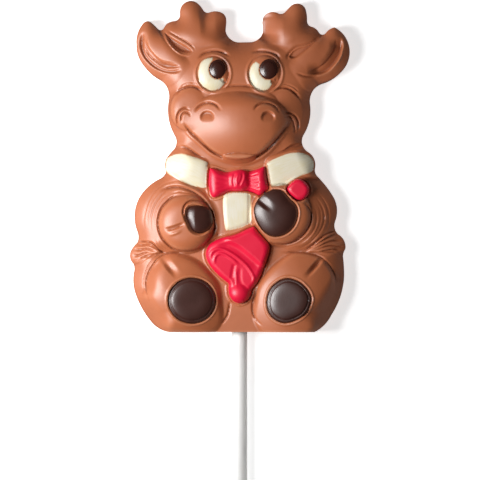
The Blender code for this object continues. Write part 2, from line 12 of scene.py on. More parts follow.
import bpy
import numpy as np
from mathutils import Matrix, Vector

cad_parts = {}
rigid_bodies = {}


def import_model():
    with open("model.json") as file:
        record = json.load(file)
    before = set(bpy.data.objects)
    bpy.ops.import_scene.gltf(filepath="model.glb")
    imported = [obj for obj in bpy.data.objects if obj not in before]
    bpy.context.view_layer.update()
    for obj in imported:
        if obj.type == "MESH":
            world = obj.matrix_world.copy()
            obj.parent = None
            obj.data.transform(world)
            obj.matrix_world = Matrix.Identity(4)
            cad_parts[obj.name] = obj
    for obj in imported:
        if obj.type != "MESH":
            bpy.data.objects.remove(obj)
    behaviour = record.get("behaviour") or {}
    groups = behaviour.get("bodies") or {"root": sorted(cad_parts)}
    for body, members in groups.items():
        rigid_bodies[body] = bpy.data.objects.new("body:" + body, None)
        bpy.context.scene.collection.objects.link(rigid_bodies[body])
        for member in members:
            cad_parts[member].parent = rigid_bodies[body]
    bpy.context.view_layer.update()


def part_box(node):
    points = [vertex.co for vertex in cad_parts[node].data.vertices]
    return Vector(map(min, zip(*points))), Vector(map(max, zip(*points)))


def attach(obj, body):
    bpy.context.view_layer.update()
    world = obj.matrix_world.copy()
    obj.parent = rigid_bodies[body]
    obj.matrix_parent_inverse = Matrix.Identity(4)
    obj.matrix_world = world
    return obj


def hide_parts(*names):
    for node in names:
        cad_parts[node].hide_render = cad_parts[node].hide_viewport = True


for leftover in list(bpy.data.objects):
    bpy.data.objects.remove(leftover)
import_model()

# The mould's edge. The mould is pressed clear plastic with one open side, so the figure has a flat back and
# an edge that runs in smooth arcs. Each arc starts at x, y and bulges out to the right by its third number.
MM = 0.001
stick_low, stick_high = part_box("stick")
middle_x = (stick_low.x + stick_high.x) / 2 / MM
base_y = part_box("reindeer")[0].y / MM
right_hip = [(21.0, 0.0, 0.6), (25.8, 4.8, 0.75), (29.35, 15.5, 0.1), (29.0, 21.3, -0.15)]
right_tuft = [(29.7, 23.2, 0.75), (27.6, 27.4, -0.6)]
right_arm = [(26.9, 31.2, 0.7), (26.4, 37.7, 0.26), (21.7, 43.7, -0.2)]
right_neck = [(21.1, 45.6, 0.8), (19.4, 50.3, -1.05), (17.9, 55.1, 0.75), (19.8, 63.5, -1.55)]
right_ear = [(24.0, 70.1, 0.5), (29.5, 74.0, 1.2), (29.9, 82.3, 0.35), (26.6, 85.4, 0.2),
    (24.3, 84.0, -0.65)]
right_antler = [
    (22.3, 83.9, 0.35), (19.9, 85.65, -0.3), (18.95, 87.2, 0.15), (18.5, 90.6, 1.1), (14.3, 91.3, 0.0),
    (12.9, 89.8, -0.35), (11.0, 89.25, 0.6), (7.2, 89.0, 0.25), (6.5, 87.2, -0.05), (6.65, 84.6, -1.0),
]
crown_of_head = [(2.8, 81.2, 0.0), (-0.5, 81.15, -0.85)]
left_antler = [
    (-3.95, 84.7, -0.05), (-3.7, 87.5, 0.4), (-5.2, 89.6, 0.35), (-8.6, 89.5, -0.25), (-10.1, 90.1, 0.1),
    (-11.6, 92.0, 0.95), (-16.0, 91.7, 0.3), (-16.7, 89.0, -0.4), (-17.9, 87.15, 0.2), (-20.4, 86.4, 0.05),
    (-21.2, 85.2, -0.5),
]
left_ear = [
    (-22.9, 84.95, 0.05), (-24.6, 86.6, 0.6), (-27.0, 86.5, 0.65), (-28.9, 80.5, 0.55), (-27.0, 74.8, 0.35),
    (-22.6, 71.0, -1.0),
]
left_neck = [(-19.8, 65.0, 0.95), (-18.1, 54.9, -0.75), (-18.8, 50.8, 0.05), (-20.6, 48.5, 0.35),
    (-20.6, 44.7, -0.15)]
left_arm = [(-22.0, 43.1, 0.7), (-28.3, 37.3, 1.0), (-28.6, 28.0, -0.25), (-28.6, 25.1, 0.1)]
left_tuft = [(-30.0, 23.5, 0.9), (-29.7, 19.0, -0.1)]
left_hip = [(-29.5, 17.3, 0.45), (-29.2, 10.8, 0.5), (-24.3, 2.3, 0.4), (-19.8, 0.0, 0.0)]


def arcs(stations, step):
    """Points, as complex numbers, along a closed chain of arcs."""
    run = []
    for (x0, y0, bulge), (x1, y1, _) in zip(stations, stations[1:] + stations[:1]):
        start, end = complex(x0, y0), complex(x1, y1)
        turn = 4 * math.atan2(2 * bulge, abs(end - start))
        count = max(1, round(abs(end - start) / step))
        t = np.arange(count) / count
        swing = np.exp(-0.5j * turn * (1 - t)) * np.sin(turn * t / 2) / math.sin(turn / 2) if turn else t
        run.append(start + (end - start) * swing)
    return np.concatenate(run)


def through(points, closed=True, step=0.5):
    """Points along a smooth curve through the given ones."""
    knots = [complex(x, y) for x, y in points]
    first = [knots[-1]] if closed else [2 * knots[0] - knots[1]]
    last = knots[:2] if closed else [2 * knots[-1] - knots[-2]]
    ring = first + knots + last
    run = []
    for p0, p1, p2, p3 in zip(ring, ring[1:], ring[2:], ring[3:]):
        count = max(2, round(abs(p2 - p1) / step))
        t = np.arange(count) / count
        run.append(0.5 * (2 * p1 + (p2 - p0) * t + (2 * p0 - 5 * p1 + 4 * p2 - p3) * t**2
                          + (3 * p1 - p0 - 3 * p2 + p3) * t**3))
    return np.concatenate(run if closed else run + [np.array([knots[-1]])])


def oval(x, y, half_width, half_height, turn=0.0):
    angle = np.linspace(0, 2 * math.pi, max(24, round(14 * max(half_width, half_height))), endpoint=False)
    ring = half_width * np.cos(angle) + 1j * half_height * np.sin(angle)
    return complex(x, y) + ring * np.exp(1j * math.radians(turn))


def evenly(loop, step):
    """The closed loop again, its points one step apart."""
    ring = np.append(loop, loop[0])
    along = np.concatenate([[0], np.cumsum(np.abs(np.diff(ring)))])
    at = np.linspace(0, along[-1], round(along[-1] / step), endpoint=False)
    return np.interp(at, along, ring.real) + 1j * np.interp(at, along, ring.imag)


edge_of_figure = evenly(arcs(
    right_hip + right_tuft + right_arm + right_neck + right_ear + right_antler + crown_of_head
    + left_antler + left_ear + left_neck + left_arm + left_tuft + left_hip, step=0.2), step=0.6)

# The places of the coloured chocolate on the mould's face. Each is brushed or piped into its own part of the
# mould before the milk chocolate is poured, so each has a clean edge where a rib of the mould stops it.
pupil_left = (-6.15, 73.5, 2.3, 2.65)
pupil_right = (8.15, 73.5, 2.55, 2.8)
pupil_rib = 0.16


def crescent(outer, pupil, start, end):
    """The white of an eye: its outer edge through some points, its inner edge round the pupil's rib."""
    x, y, half_width, half_height = pupil
    angle = np.radians(np.linspace(start, end, 30))
    inner = (half_width + pupil_rib) * np.cos(angle) + 1j * (half_height + pupil_rib) * np.sin(angle)
    return np.concatenate([through(outer, closed=False), complex(x, y) + inner])


colour_places = {
    "eye_white_left": crescent([(-7.4, 76.9), (-9.5, 76.5), (-11.0, 75.2), (-11.65, 72.4), (-10.9, 69.4),
        (-8.3, 67.6), (-5.8, 67.9), (-4.0, 69.5)], pupil_left, -52, -236),
    "pupil_left": oval(*pupil_left),
    "eye_white_right": crescent([(4.5, 75.7), (3.1, 74.3), (2.7, 71.8), (3.3, 69.2), (5.5, 67.6),
        (7.8, 67.7), (9.1, 69.2)], pupil_right, -78, -208),
    "pupil_right": oval(*pupil_right),
    "collar_left": through([(-20.7, 47.6), (-19.6, 49.2), (-16.6, 50.0), (-13.0, 49.2), (-9.0, 47.6),
        (-8.9, 46.6), (-9.0, 44.0), (-9.2, 41.0), (-9.6, 40.3), (-11.4, 40.5), (-14.6, 41.4), (-18.0, 43.1),
        (-20.5, 44.8)]),
    "collar_right": through([(7.7, 47.3), (9.6, 48.4), (12.6, 49.7), (16.0, 50.3), (19.2, 49.6),
        (20.8, 47.6), (20.4, 45.0), (17.5, 43.8), (14.8, 42.3), (12.6, 41.1), (9.4, 40.8), (8.7, 41.2),
        (8.2, 44.0), (7.7, 46.4)]),
    "bow_tie": through([(-8.3, 45.6), (-7.9, 45.9), (-6.5, 45.6), (-4.5, 44.9), (-3.0, 44.8), (-1.5, 45.2),
        (0.3, 45.4), (2.0, 45.1), (3.5, 45.2), (5.2, 45.7), (6.7, 46.3), (7.2, 46.1), (7.4, 44.5),
        (7.8, 42.0), (8.2, 40.4), (7.9, 39.8), (5.8, 38.3), (4.0, 38.9), (2.2, 39.35), (0.0, 39.4),
        (-2.5, 39.35), (-4.2, 38.6), (-5.8, 37.9), (-7.2, 37.6), (-8.1, 38.5), (-8.6, 41.0), (-8.6, 43.5)]),
    "placket": through([(-4.4, 38.2), (-4.7, 37.0), (-4.6, 33.8), (-4.2, 30.0), (-3.9, 28.7), (-3.3, 28.4),
        (0.0, 29.0), (2.6, 30.2), (3.3, 31.0), (3.4, 34.5), (3.3, 37.6), (2.8, 38.7), (1.0, 39.1),
        (-2.2, 39.1), (-3.6, 38.7)]),
    "hat": through([(3.9, 29.5), (4.4, 29.2), (5.6, 27.7), (7.1, 26.0), (8.3, 24.5), (8.4, 23.0),
        (7.7, 20.4), (6.8, 18.0), (6.0, 15.8), (4.8, 13.6), (3.5, 11.9), (3.0, 10.1), (1.8, 8.6), (0.0, 8.0),
        (-1.7, 8.7), (-2.8, 10.2), (-3.1, 12.0), (-3.1, 13.5), (-4.2, 14.4), (-6.0, 16.0), (-8.0, 18.2),
        (-9.2, 20.4), (-9.4, 22.3), (-8.5, 24.4), (-6.5, 25.8), (-4.0, 26.7), (-2.0, 27.1), (0.0, 27.8),
        (2.0, 28.8)]),
    "paw_pad_left": through([(-14.3, 34.6), (-12.9, 35.3), (-11.2, 35.4), (-9.3, 35.0), (-8.0, 34.0),
        (-7.5, 32.4), (-7.4, 30.8), (-8.0, 29.2), (-9.2, 28.1), (-10.6, 27.6), (-12.0, 27.8), (-13.2, 28.7),
        (-14.1, 30.5), (-14.8, 32.4)]),
    "paw_pad_right": through([(4.2, 34.2), (4.6, 32.0), (5.6, 30.0), (7.0, 28.2), (9.0, 27.0), (11.1, 26.9),
        (13.5, 27.9), (15.3, 29.8), (16.2, 32.4), (16.1, 34.6), (15.3, 36.0), (14.3, 36.9), (13.2, 38.2),
        (11.8, 39.5), (9.6, 39.8), (7.5, 39.1), (6.0, 37.8), (4.8, 36.2)]),
    "red_button": through([(13.3, 40.2), (14.5, 41.8), (16.2, 42.8), (17.5, 42.6), (19.0, 41.2),
        (19.5, 39.7), (19.0, 38.2), (17.9, 37.1), (16.4, 36.9), (15.3, 37.5), (13.8, 38.9)]),
    "sole_left": oval(-13.3, 8.8, 6.6, 6.35),
    "sole_right": through([(7.6, 8.4), (9.0, 12.6), (13.0, 15.0), (17.4, 13.6), (20.0, 9.5), (18.0, 4.8),
        (13.0, 2.6), (8.9, 4.4)]),
}
colour_places = {name: evenly(loop, step=0.3) for name, loop in colour_places.items()}


def inside(spots, loop):
    odd = np.zeros(spots.shape, bool)
    for a, b in zip(loop, np.roll(loop, -1)):
        if a.imag != b.imag:
            level = (a.imag > spots.imag) != (b.imag > spots.imag)
            crossing = a.real + (spots.imag - a.imag) * (b.real - a.real) / (b.imag - a.imag)
            odd ^= level & (spots.real < crossing)
    return odd


def near(spots, line, margin):
    across = (spots.real > line.real.min() - margin) & (spots.real < line.real.max() + margin)
    upward = (spots.imag > line.imag.min() - margin) & (spots.imag < line.imag.max() + margin)
    return np.nonzero(across & upward)[0]


def beside(spots, line, closed):
    """For each spot: how far it lies to the left of a line, how far along it, and the nearest point on
    it."""
    ends = np.roll(line, -1) if closed else line[1:]
    starts = line if closed else line[:-1]
    best = np.full(len(spots), 1e9)
    side = np.ones(len(spots))
    along = np.zeros(len(spots))
    foot_at = np.zeros(len(spots), complex)
    for index, (a, b) in enumerate(zip(starts, ends)):
        reach = abs(b - a)
        local = (spots - a) * np.conj(b - a) / reach
        foot = np.clip(local.real, 0, reach)
        gap = np.hypot(local.real - foot, local.imag)
        nearer = gap < best
        best[nearer] = gap[nearer]
        side[nearer] = np.where(local.imag[nearer] < 0, -1, 1)
        along[nearer] = (index + foot[nearer] / reach) / len(starts)
        foot_at[nearer] = a + (b - a) / reach * foot[nearer]
    return best * side, along, foot_at


# The face of the mould as one sheet of small squares. Its corners are drawn onto the figure's edge and
# onto the edge of every coloured place, so that each kind of chocolate can be parted off along a clean
# line. A few rounds of averaging keep the squares beside those lines even.
square = 0.195
left_end, right_end, low_end, high_end = -31.1, 31.3, -0.4, 93.4
across = round((right_end - left_end) / square)
upward = round((high_end - low_end) / square)
rounds = 5
bpy.ops.object.select_all(action='DESELECT')
bpy.ops.mesh.primitive_grid_add(x_subdivisions=across, y_subdivisions=upward, size=2, location=(0, 0, 0))
face = bpy.context.object
face.name = "milk_chocolate_reindeer"
net = np.linspace(left_end, right_end, across + 1) + 1j * np.linspace(low_end, high_end, upward + 1)[:, None]
centres = (net[:-1, :-1] + net[1:, 1:]) / 2
kind = np.where(inside(centres, edge_of_figure), 1, 0)
fixed = np.zeros(net.shape, bool)


def draw_onto(loop, within):
    """Moves the corners between the squares inside a loop and those outside it onto the loop."""
    count = np.zeros(net.shape, int)
    for rows in (slice(0, -1), slice(1, None)):
        for columns in (slice(0, -1), slice(1, None)):
            count[rows, columns] += within
    rim = (count > 0) & (count < 4) & ~fixed
    net[rim] = beside(net[rim], loop, True)[2]
    fixed[rim] = True


draw_onto(edge_of_figure, kind == 1)
for number, (name, loop) in enumerate(colour_places.items(), start=2):
    within = inside(centres, loop) & (kind == 1)
    kind[within] = number
    draw_onto(loop, within)
for _ in range(rounds):
    mean = (net[:-2, 1:-1] + net[2:, 1:-1] + net[1:-1, :-2] + net[1:-1, 2:]) / 4
    net[1:-1, 1:-1] = np.where(fixed[1:-1, 1:-1], net[1:-1, 1:-1], mean)
spots = net.ravel()


def ease(t):
    t = np.clip(t, 0, 1)
    return t * t * (3 - 2 * t)


def higher(a, b, blend):
    """The higher of two surfaces, with the crease between them filled."""
    share = np.clip(0.5 + 0.5 * (a - b) / blend, 0, 1)
    return a * share + b * (1 - share) + blend * share * (1 - share)


def lower(a, b, blend):
    """The lower of two surfaces, with the edge between them rounded."""
    return -higher(-a, -b, blend)


def soft_depth(spots, loop):
    """How deep inside a loop a spot lies, smooth over the middle: half the radius at a disc's centre."""
    total = np.zeros(len(spots))
    for a, b in zip(loop, np.roll(loop, -1)):
        reach = abs(b - a)
        local = (spots - a) * np.conj(b - a) / reach
        off = np.abs(local.imag) + 1e-5
        total += (np.arctan(local.real / off) - np.arctan((local.real - reach) / off)) / off
    return math.pi / total * np.where(inside(spots, loop), 1, -1)


def swell(height, spots, loop, edge, crown, width, blend=0.4, under=None, steep=0.5):
    """Lays a rounded form over the surface, from its edge height up to its crown. At 1 its edge is
    gentle."""
    here = near(spots, loop, 2.0)
    depth = soft_depth(spots[here], loop)
    t = np.clip(depth / width, 0, 1)
    top = edge + (crown - edge) * (1 - (1 - t)**2)**steep + np.minimum(depth, 0) * 1.5
    if under is not None:
        top = lower(top, under[here], 0.9)
    height[here] = higher(height[here], top, blend)


def crown_over(spots, loop, edge, crown, width, steep=0.5):
    """The height of a rounded piece from its edge to its crown."""
    t = np.clip(soft_depth(spots, loop) / width, 0, 1)
    return edge + (crown - edge) * (1 - (1 - t)**2)**steep


def seat(height, spots, loop, level, slope):
    """Keeps the surface under a level inside the loop, and under a slope that climbs away outside it."""
    here = near(spots, loop, 3.5)
    away = np.abs(beside(spots[here], loop, True)[0]) * ~inside(spots[here], loop)
    level = np.broadcast_to(level, height.shape)[here]
    height[here] = lower(height[here], level + slope * away, 0.25)


KEEN, SOFT = False, True


def score(height, spots, *grooves):
    """Cuts grooves along open lines. Each says how wide it is to its left and to its right, how deep,
    below zero for a rib, whether it is keen or soft, over what share of its length its ends fade, and
    where it runs."""
    for left, right, depth, soft, fade, points in grooves:
        line = through(points, closed=False)
        here = near(spots, line, max(left, right))
        away, along, _ = beside(spots[here], line, False)
        t = np.clip(1 - np.where(away > 0, away / left, -away / right), 0, 1)
        profile = ease(t) if soft else t**1.7
        height[here] -= depth * profile * ease(along / fade) * ease((1 - along) / fade)


def score_round(height, spots, loop, outwards, half_width, depth):
    """Cuts a groove round a loop, so far outside it. A depth below zero is a rib."""
    here = near(spots, loop, max(outwards, 0) + half_width)
    away = np.abs(beside(spots[here], loop, True)[0]) * np.where(inside(spots[here], loop), -1, 1)
    height[here] -= depth * np.clip(1 - np.abs(away - outwards) / half_width, 0, 1)**1.7


def sink(height, spots, loop, depth, wall):
    """Sinks the surface inside a loop by a depth, with walls so wide."""
    here = near(spots, loop, 0.1)
    into = np.abs(beside(spots[here], loop, True)[0]) * inside(spots[here], loop)
    height[here] -= depth * ease(into / wall)


# The slab that all the forms stand on. Every form rounds over to a rim at the figure's edge, and the rim is
# higher where the feet and the stick are.
rim_level, foot_rim_rise, slab_level = 4.8, 4.2, 7.8
foot = ease((6 - spots.imag) / 5) * ease((27 - np.abs(spots.real - 0.6)) / 12)
inwards = np.maximum(soft_depth(spots, edge_of_figure), 0)
round_over = 1 - (1 - np.clip(inwards / 9.0, 0, 1))**2
ceiling = rim_level + foot_rim_rise * foot + 3.0 * round_over + 0.32 * inwards
height = lower(ceiling, slab_level, 1.2)

# Antlers, with a soft valley below each notch.
for antler in (
    [(-22.4, 84.2), (-18.4, 88.0), (-17.6, 92.4), (-13.2, 94.2), (-9.0, 90.6), (-4.6, 91.2), (-2.6, 85.6),
        (0.0, 79.0), (-9.0, 78.0), (-14.5, 78.5), (-18.5, 82.3)],
    [(5.0, 83.0), (5.8, 90.2), (12.5, 90.4), (16.8, 93.2), (20.2, 87.6), (23.4, 83.4), (16.0, 79.7),
        (13.0, 77.0), (3.0, 79.0)],
):
    swell(height, spots, through(antler), edge=4.0, crown=9.6, width=6.5, blend=0.8, under=ceiling, steep=0.7)
score(
    height, spots,
    (3.2, 2.0, 0.6, SOFT, 0.45, [(-9.6, 92.6), (-9.6, 88.4), (-9.0, 81.6)]),
    (5.2, 3.0, 1.7, SOFT, 0.3, [(7.0, 90.8), (7.4, 86.0), (7.2, 80.6)]),
    (4.6, 2.4, 0.8, SOFT, 0.4, [(4.0, 82.4), (9.0, 80.8), (15.0, 80.2)]))

# Head.
swell(height, spots, through([(-18.8, 53.2), (-21.6, 61.0), (-21.6, 70.0), (-13.0, 79.0), (0.0, 83.0),
    (13.0, 79.0), (21.6, 70.0), (21.6, 60.0), (18.8, 53.2), (12.0, 50.4), (7.0, 47.2), (0.0, 46.1),
    (-7.5, 46.8), (-12.5, 50.0)]), edge=4.0, crown=9.9, width=8.6, blend=2.4, under=ceiling, steep=0.6)

# Ears: a rolled rim round a hollow with combed lines, and a leaf-shaped fold between each ear and its
# antler.
for ear in (
    [(-19.5, 68.8), (-28.2, 73.6), (-30.4, 81.0), (-27.0, 88.2), (-20.6, 82.0), (-14.8, 77.4), (-12.6, 74.6),
        (-14.4, 71.6)],
    [(19.5, 67.5), (29.6, 72.4), (32.2, 79.0), (27.4, 86.8), (22.4, 82.2), (15.2, 77.6), (12.8, 74.4),
        (14.8, 70.6)],
):
    swell(height, spots, through(ear), edge=4.4, crown=9.2, width=4.2, blend=1.6, under=ceiling)
score(
    height, spots,
    (1.7, 1.7, 0.9, SOFT, 0.25, [(-27.0, 84.6), (-26.9, 80.2), (-24.9, 76.8), (-21.8, 74.7), (-16.4, 73.9)]),
    (0.7, 0.7, 0.6, SOFT, 0.12, [(-26.9, 84.2), (-27.4, 81.5), (-27.3, 79.5), (-26.6, 77.5), (-25.3, 75.8),
        (-23.5, 74.3), (-21.5, 73.3), (-19.5, 72.9), (-17.5, 73.0), (-16.0, 73.7)]),
    (0.6, 0.6, 0.4, SOFT, 0.15, [(-26.5, 82.0), (-25.7, 79.7), (-24.5, 78.0), (-22.8, 76.3), (-20.8, 75.0),
        (-18.5, 74.3), (-16.3, 74.4)]),
    (0.4, 0.4, 0.35, KEEN, 0.2, [(-26.6, 80.4), (-25.6, 78.0), (-23.8, 76.2), (-21.4, 74.7), (-18.6, 73.7)]),
    (1.0, 3.4, 1.5, SOFT, 0.2, [(28.0, 83.0), (28.2, 79.5), (27.2, 76.8), (25.6, 74.6), (23.2, 73.0),
        (18.8, 72.3)]),
    (0.9, 0.45, 0.35, KEEN, 0.2, [(27.1, 82.4), (26.8, 80.0), (26.0, 78.0), (24.8, 76.3), (23.3, 74.8),
        (21.5, 73.7), (19.0, 73.0)]),
    (0.45, 0.8, -0.3, KEEN, 0.25, [(28.5, 81.6), (28.8, 79.0), (28.2, 76.6), (26.6, 74.6), (24.4, 73.0)]),
    (0.5, 0.8, 0.4, KEEN, 0.25, [(15.6, 72.6), (18.0, 71.8), (20.0, 71.6), (22.8, 71.9)]))
for depth, wall, leaf in (
    (0.9, 0.9, [(-21.3, 84.3), (-20.0, 83.5), (-18.0, 82.2), (-16.0, 81.0), (-14.3, 80.0), (-13.0, 78.5),
        (-14.5, 77.9), (-16.3, 78.2), (-18.0, 79.3), (-19.5, 80.8), (-20.5, 82.6)]),
    (0.6, 0.7, [(13.7, 76.9), (14.1, 77.9), (15.0, 79.0), (16.8, 79.9), (18.5, 80.3), (20.5, 81.1),
        (22.4, 82.2), (20.2, 79.8), (18.0, 77.9), (15.5, 76.4)]),
):
    sink(height, spots, through(leaf), depth, wall)
score(
    height, spots,
    (0.45, 0.45, -0.35, KEEN, 0.25, [(-21.2, 84.0), (-20.3, 81.6), (-18.4, 79.2), (-16.4, 77.8),
        (-14.4, 77.5), (-13.0, 78.2)]),
    (0.4, 0.4, 0.3, KEEN, 0.25, [(-20.8, 85.0), (-18.8, 83.6), (-16.8, 82.4), (-14.8, 81.2), (-13.0, 79.8),
        (-12.4, 78.4)]),
    (0.9, 0.5, 0.5, KEEN, 0.15, [(13.8, 75.8), (13.5, 77.0), (14.4, 78.5), (16.2, 79.8), (18.6, 80.5),
        (20.6, 81.3), (22.6, 82.6)]))

# Cheeks, each with a double crease over it.
swell(height, spots, oval(-14.0, 62.4, 5.4, 6.2), edge=7.0, crown=10.0, width=3.2, blend=1.8)
swell(height, spots, oval(12.8, 61.6, 5.0, 6.2), edge=6.6, crown=9.8, width=3.2, blend=1.4, under=ceiling)
score(
    height, spots,
    (0.8, 0.5, 0.8, KEEN, 0.25, [(-18.0, 65.8), (-16.5, 67.7), (-15.0, 68.4), (-13.5, 68.7), (-12.0, 68.3),
        (-10.0, 66.9)]),
    (0.4, 0.4, 0.25, KEEN, 0.25, [(-17.0, 68.2), (-15.2, 69.3), (-13.2, 69.6), (-11.4, 69.0)]),
    (0.8, 0.5, 0.8, KEEN, 0.25, [(9.3, 67.1), (11.0, 68.1), (12.5, 68.3), (14.0, 67.9), (15.5, 66.8),
        (17.2, 65.0)]),
    (0.4, 0.4, 0.25, KEEN, 0.25, [(11.4, 69.0), (13.2, 69.2), (15.2, 68.4), (16.8, 67.0)]))

# Muzzle under a fold of skin, with nostrils, a smile and a small lower lip.
swell(height, spots, oval(0.5, 64.0, 10.5, 4.9), edge=8.6, crown=10.4, width=1.6, blend=0.5)
muzzle_dome = 14.0 - 0.0185 * (spots.real - 2.0)**2 - 0.034 * (spots.imag - 59.5)**2
muzzle_dome -= 0.055 * np.maximum(spots.real - 8.5, 0)**2 + 0.07 * np.maximum(spots.imag - 62.8, 0)**2
swell(height, spots, through([(-15.3, 58.3), (-11.5, 64.6), (-6.0, 66.8), (0.0, 67.6), (6.0, 66.6),
    (11.5, 64.0), (14.0, 58.3), (8.0, 51.0), (0.0, 47.6), (-7.7, 50.5)]), edge=8.0, crown=14.4, width=4.0,
    blend=1.5, under=muzzle_dome, steep=0.8)
score(
    height, spots,
    (0.7, 0.4, 0.45, KEEN, 0.25, [(-6.5, 67.3), (-3.0, 68.6), (0.0, 68.9), (3.0, 68.6), (6.5, 67.3)]),
    (0.8, 0.6, 0.75, KEEN, 0.25, [(-12.7, 61.4), (-11.5, 62.8), (-10.0, 63.8), (-8.5, 64.1), (-7.0, 63.7),
        (-6.0, 62.9), (-5.1, 61.6)]),
    (0.8, 0.6, 0.75, KEEN, 0.25, [(3.9, 61.6), (5.0, 63.2), (6.8, 64.0), (8.5, 63.8), (10.2, 62.8),
        (11.4, 61.0)]))
for x, y in ((-9.0, 59.9), (8.0, 59.8)):
    nostril = oval(x, y, 2.2, 2.2)
    here = near(spots, nostril, 0.1)
    into = np.abs(beside(spots[here], nostril, True)[0]) * inside(spots[here], nostril)
    height[here] -= 0.9 * ease(into / 0.9) * ease((spots[here].imag - y + 1.5) / 3.2)
smile = [(-15.8, 58.6), (-13.7, 56.0), (-11.7, 54.2), (-9.7, 52.3), (-7.7, 50.6), (-5.5, 49.4), (-4.0, 48.7),
    (-2.0, 48.0), (0.0, 47.7), (2.0, 47.9), (4.0, 48.6), (6.0, 49.7), (8.0, 51.2), (9.7, 53.0), (11.5, 55.2),
    (13.0, 57.2), (14.0, 58.8)]
lip = [(x * 1.03, y - 0.85) for x, y in smile]
score(height, spots, (0.6, 0.55, 0.9, KEEN, 0.08, smile), (0.7, 0.7, -0.3, SOFT, 0.12, lip))
swell(height, spots, through([(-4.4, 49.3), (-2.0, 50.0), (0.0, 50.2), (2.0, 50.0), (4.3, 49.5), (2.0, 48.5),
    (-2.0, 48.4)]), edge=10.0, crown=11.2, width=0.45, blend=0.2)
score(
    height, spots,
    (0.6, 0.5, 0.7, KEEN, 0.25, [(-17.1, 56.4), (-17.5, 59.5), (-17.0, 61.3), (-16.0, 62.3), (-14.9, 62.6),
        (-13.8, 61.9)]),
    (0.5, 0.5, 0.5, KEEN, 0.25, [(-16.3, 58.2), (-16.2, 60.4), (-15.2, 61.4), (-14.0, 61.0), (-13.7, 60.0)]),
    (0.6, 0.5, 0.7, KEEN, 0.25, [(12.1, 60.8), (13.3, 61.3), (14.8, 61.0), (16.0, 59.8), (16.5, 58.0),
        (16.3, 55.8)]),
    (0.5, 0.5, 0.5, KEEN, 0.25, [(12.2, 59.9), (14.0, 60.2), (15.0, 59.0), (15.5, 57.0), (15.6, 55.2)]))

# Brows, and eyeballs that fill their sockets. A thin lid stands round each socket, and each eyeball is
# pressed in a little near its pupil.
score(
    height, spots,
    (0.9, 0.5, 0.7, KEEN, 0.25, [(-11.8, 76.4), (-9.5, 78.1), (-7.0, 78.6), (-5.0, 78.3), (-2.4, 77.0)]),
    (0.9, 0.5, 0.7, KEEN, 0.25, [(3.0, 77.8), (4.5, 78.4), (6.5, 78.6), (8.5, 78.3), (10.3, 77.5),
        (11.8, 75.8)]))
for socket in (oval(-7.35, 72.25, 4.3, 4.65), oval(7.1, 72.35, 4.35, 4.8)):
    score_round(height, spots, socket, outwards=0.7, half_width=0.7, depth=-0.3)
    seat(height, spots, socket, level=9.3, slope=2.0)
    swell(height, spots, socket, edge=9.3, crown=10.4, width=2.4, blend=0.3, steep=0.9)
score(
    height, spots,
    (0.7, 0.7, 0.35, SOFT, 0.3, [(-5.6, 70.9), (-4.4, 70.3), (-3.9, 69.3)]),
    (0.7, 0.9, 0.35, SOFT, 0.3, [(8.6, 70.4), (9.8, 70.0), (10.6, 71.2)]))

# Jaw, stepping down to a short neck over the collar.
score(
    height, spots,
    (0.5, 1.2, 0.8, KEEN, 0.25, [(-17.0, 52.2), (-16.0, 52.0), (-14.0, 51.2), (-12.0, 49.8), (-10.0, 48.4),
        (-8.4, 46.9)]),
    (1.2, 0.5, 0.8, KEEN, 0.25, [(17.4, 53.1), (14.5, 52.0), (12.5, 50.7), (10.0, 49.3), (7.8, 47.6)]))

# Arms. Each ends in a round paw behind a rolled cuff of fur.
for arm in (
    [(-30.8, 25.0), (-31.4, 36.5), (-22.8, 45.0), (-12.0, 41.6), (-5.6, 34.5), (-6.4, 25.8), (-16.0, 22.0),
        (-24.0, 22.8)],
    [(28.8, 28.4), (28.6, 38.6), (20.2, 45.8), (10.0, 42.0), (3.6, 37.5), (3.6, 29.5), (10.0, 23.6),
        (20.0, 22.9)],
):
    swell(height, spots, through(arm), edge=5.6, crown=10.5, width=7.0, blend=1.0, under=ceiling)
swell(height, spots, oval(-14.9, 30.5, 7.85, 7.95), edge=8.8, crown=12.4, width=4.2, blend=0.3, steep=0.6)
swell(height, spots, oval(11.7, 33.0, 8.35, 8.45), edge=9.0, crown=11.4, width=3.4, blend=0.3)
score(
    height, spots,
    (0.5, 0.55, 0.6, KEEN, 0.12, [(-16.6, 38.6), (-18.5, 37.9), (-20.3, 36.5), (-21.9, 34.5), (-22.7, 32.0),
        (-22.8, 30.0), (-22.4, 27.9), (-21.4, 25.9), (-19.8, 24.2), (-18.0, 23.1), (-15.5, 22.6),
        (-12.5, 22.9), (-10.0, 24.0)]),
    (0.75, 1.0, 0.8, KEEN, 0.14, [(-22.6, 39.2), (-20.4, 40.3), (-17.0, 40.6), (-13.8, 39.7), (-11.2, 38.1),
        (-9.2, 36.0), (-7.9, 33.8), (-7.1, 31.4), (-6.9, 29.6), (-7.2, 27.6), (-8.0, 25.6)]),
    (0.45, 0.45, 0.25, KEEN, 0.25, [(-19.6, 38.5), (-17.0, 39.2), (-14.0, 38.8), (-11.8, 37.9),
        (-10.0, 36.6)]),
    (0.5, 0.6, 0.65, KEEN, 0.1, [(18.0, 36.5), (19.0, 35.2), (19.8, 33.5), (20.1, 31.8), (19.8, 30.2),
        (19.0, 28.5), (17.8, 27.0), (16.0, 25.6), (14.0, 24.8), (12.0, 24.6), (9.6, 24.9)]))

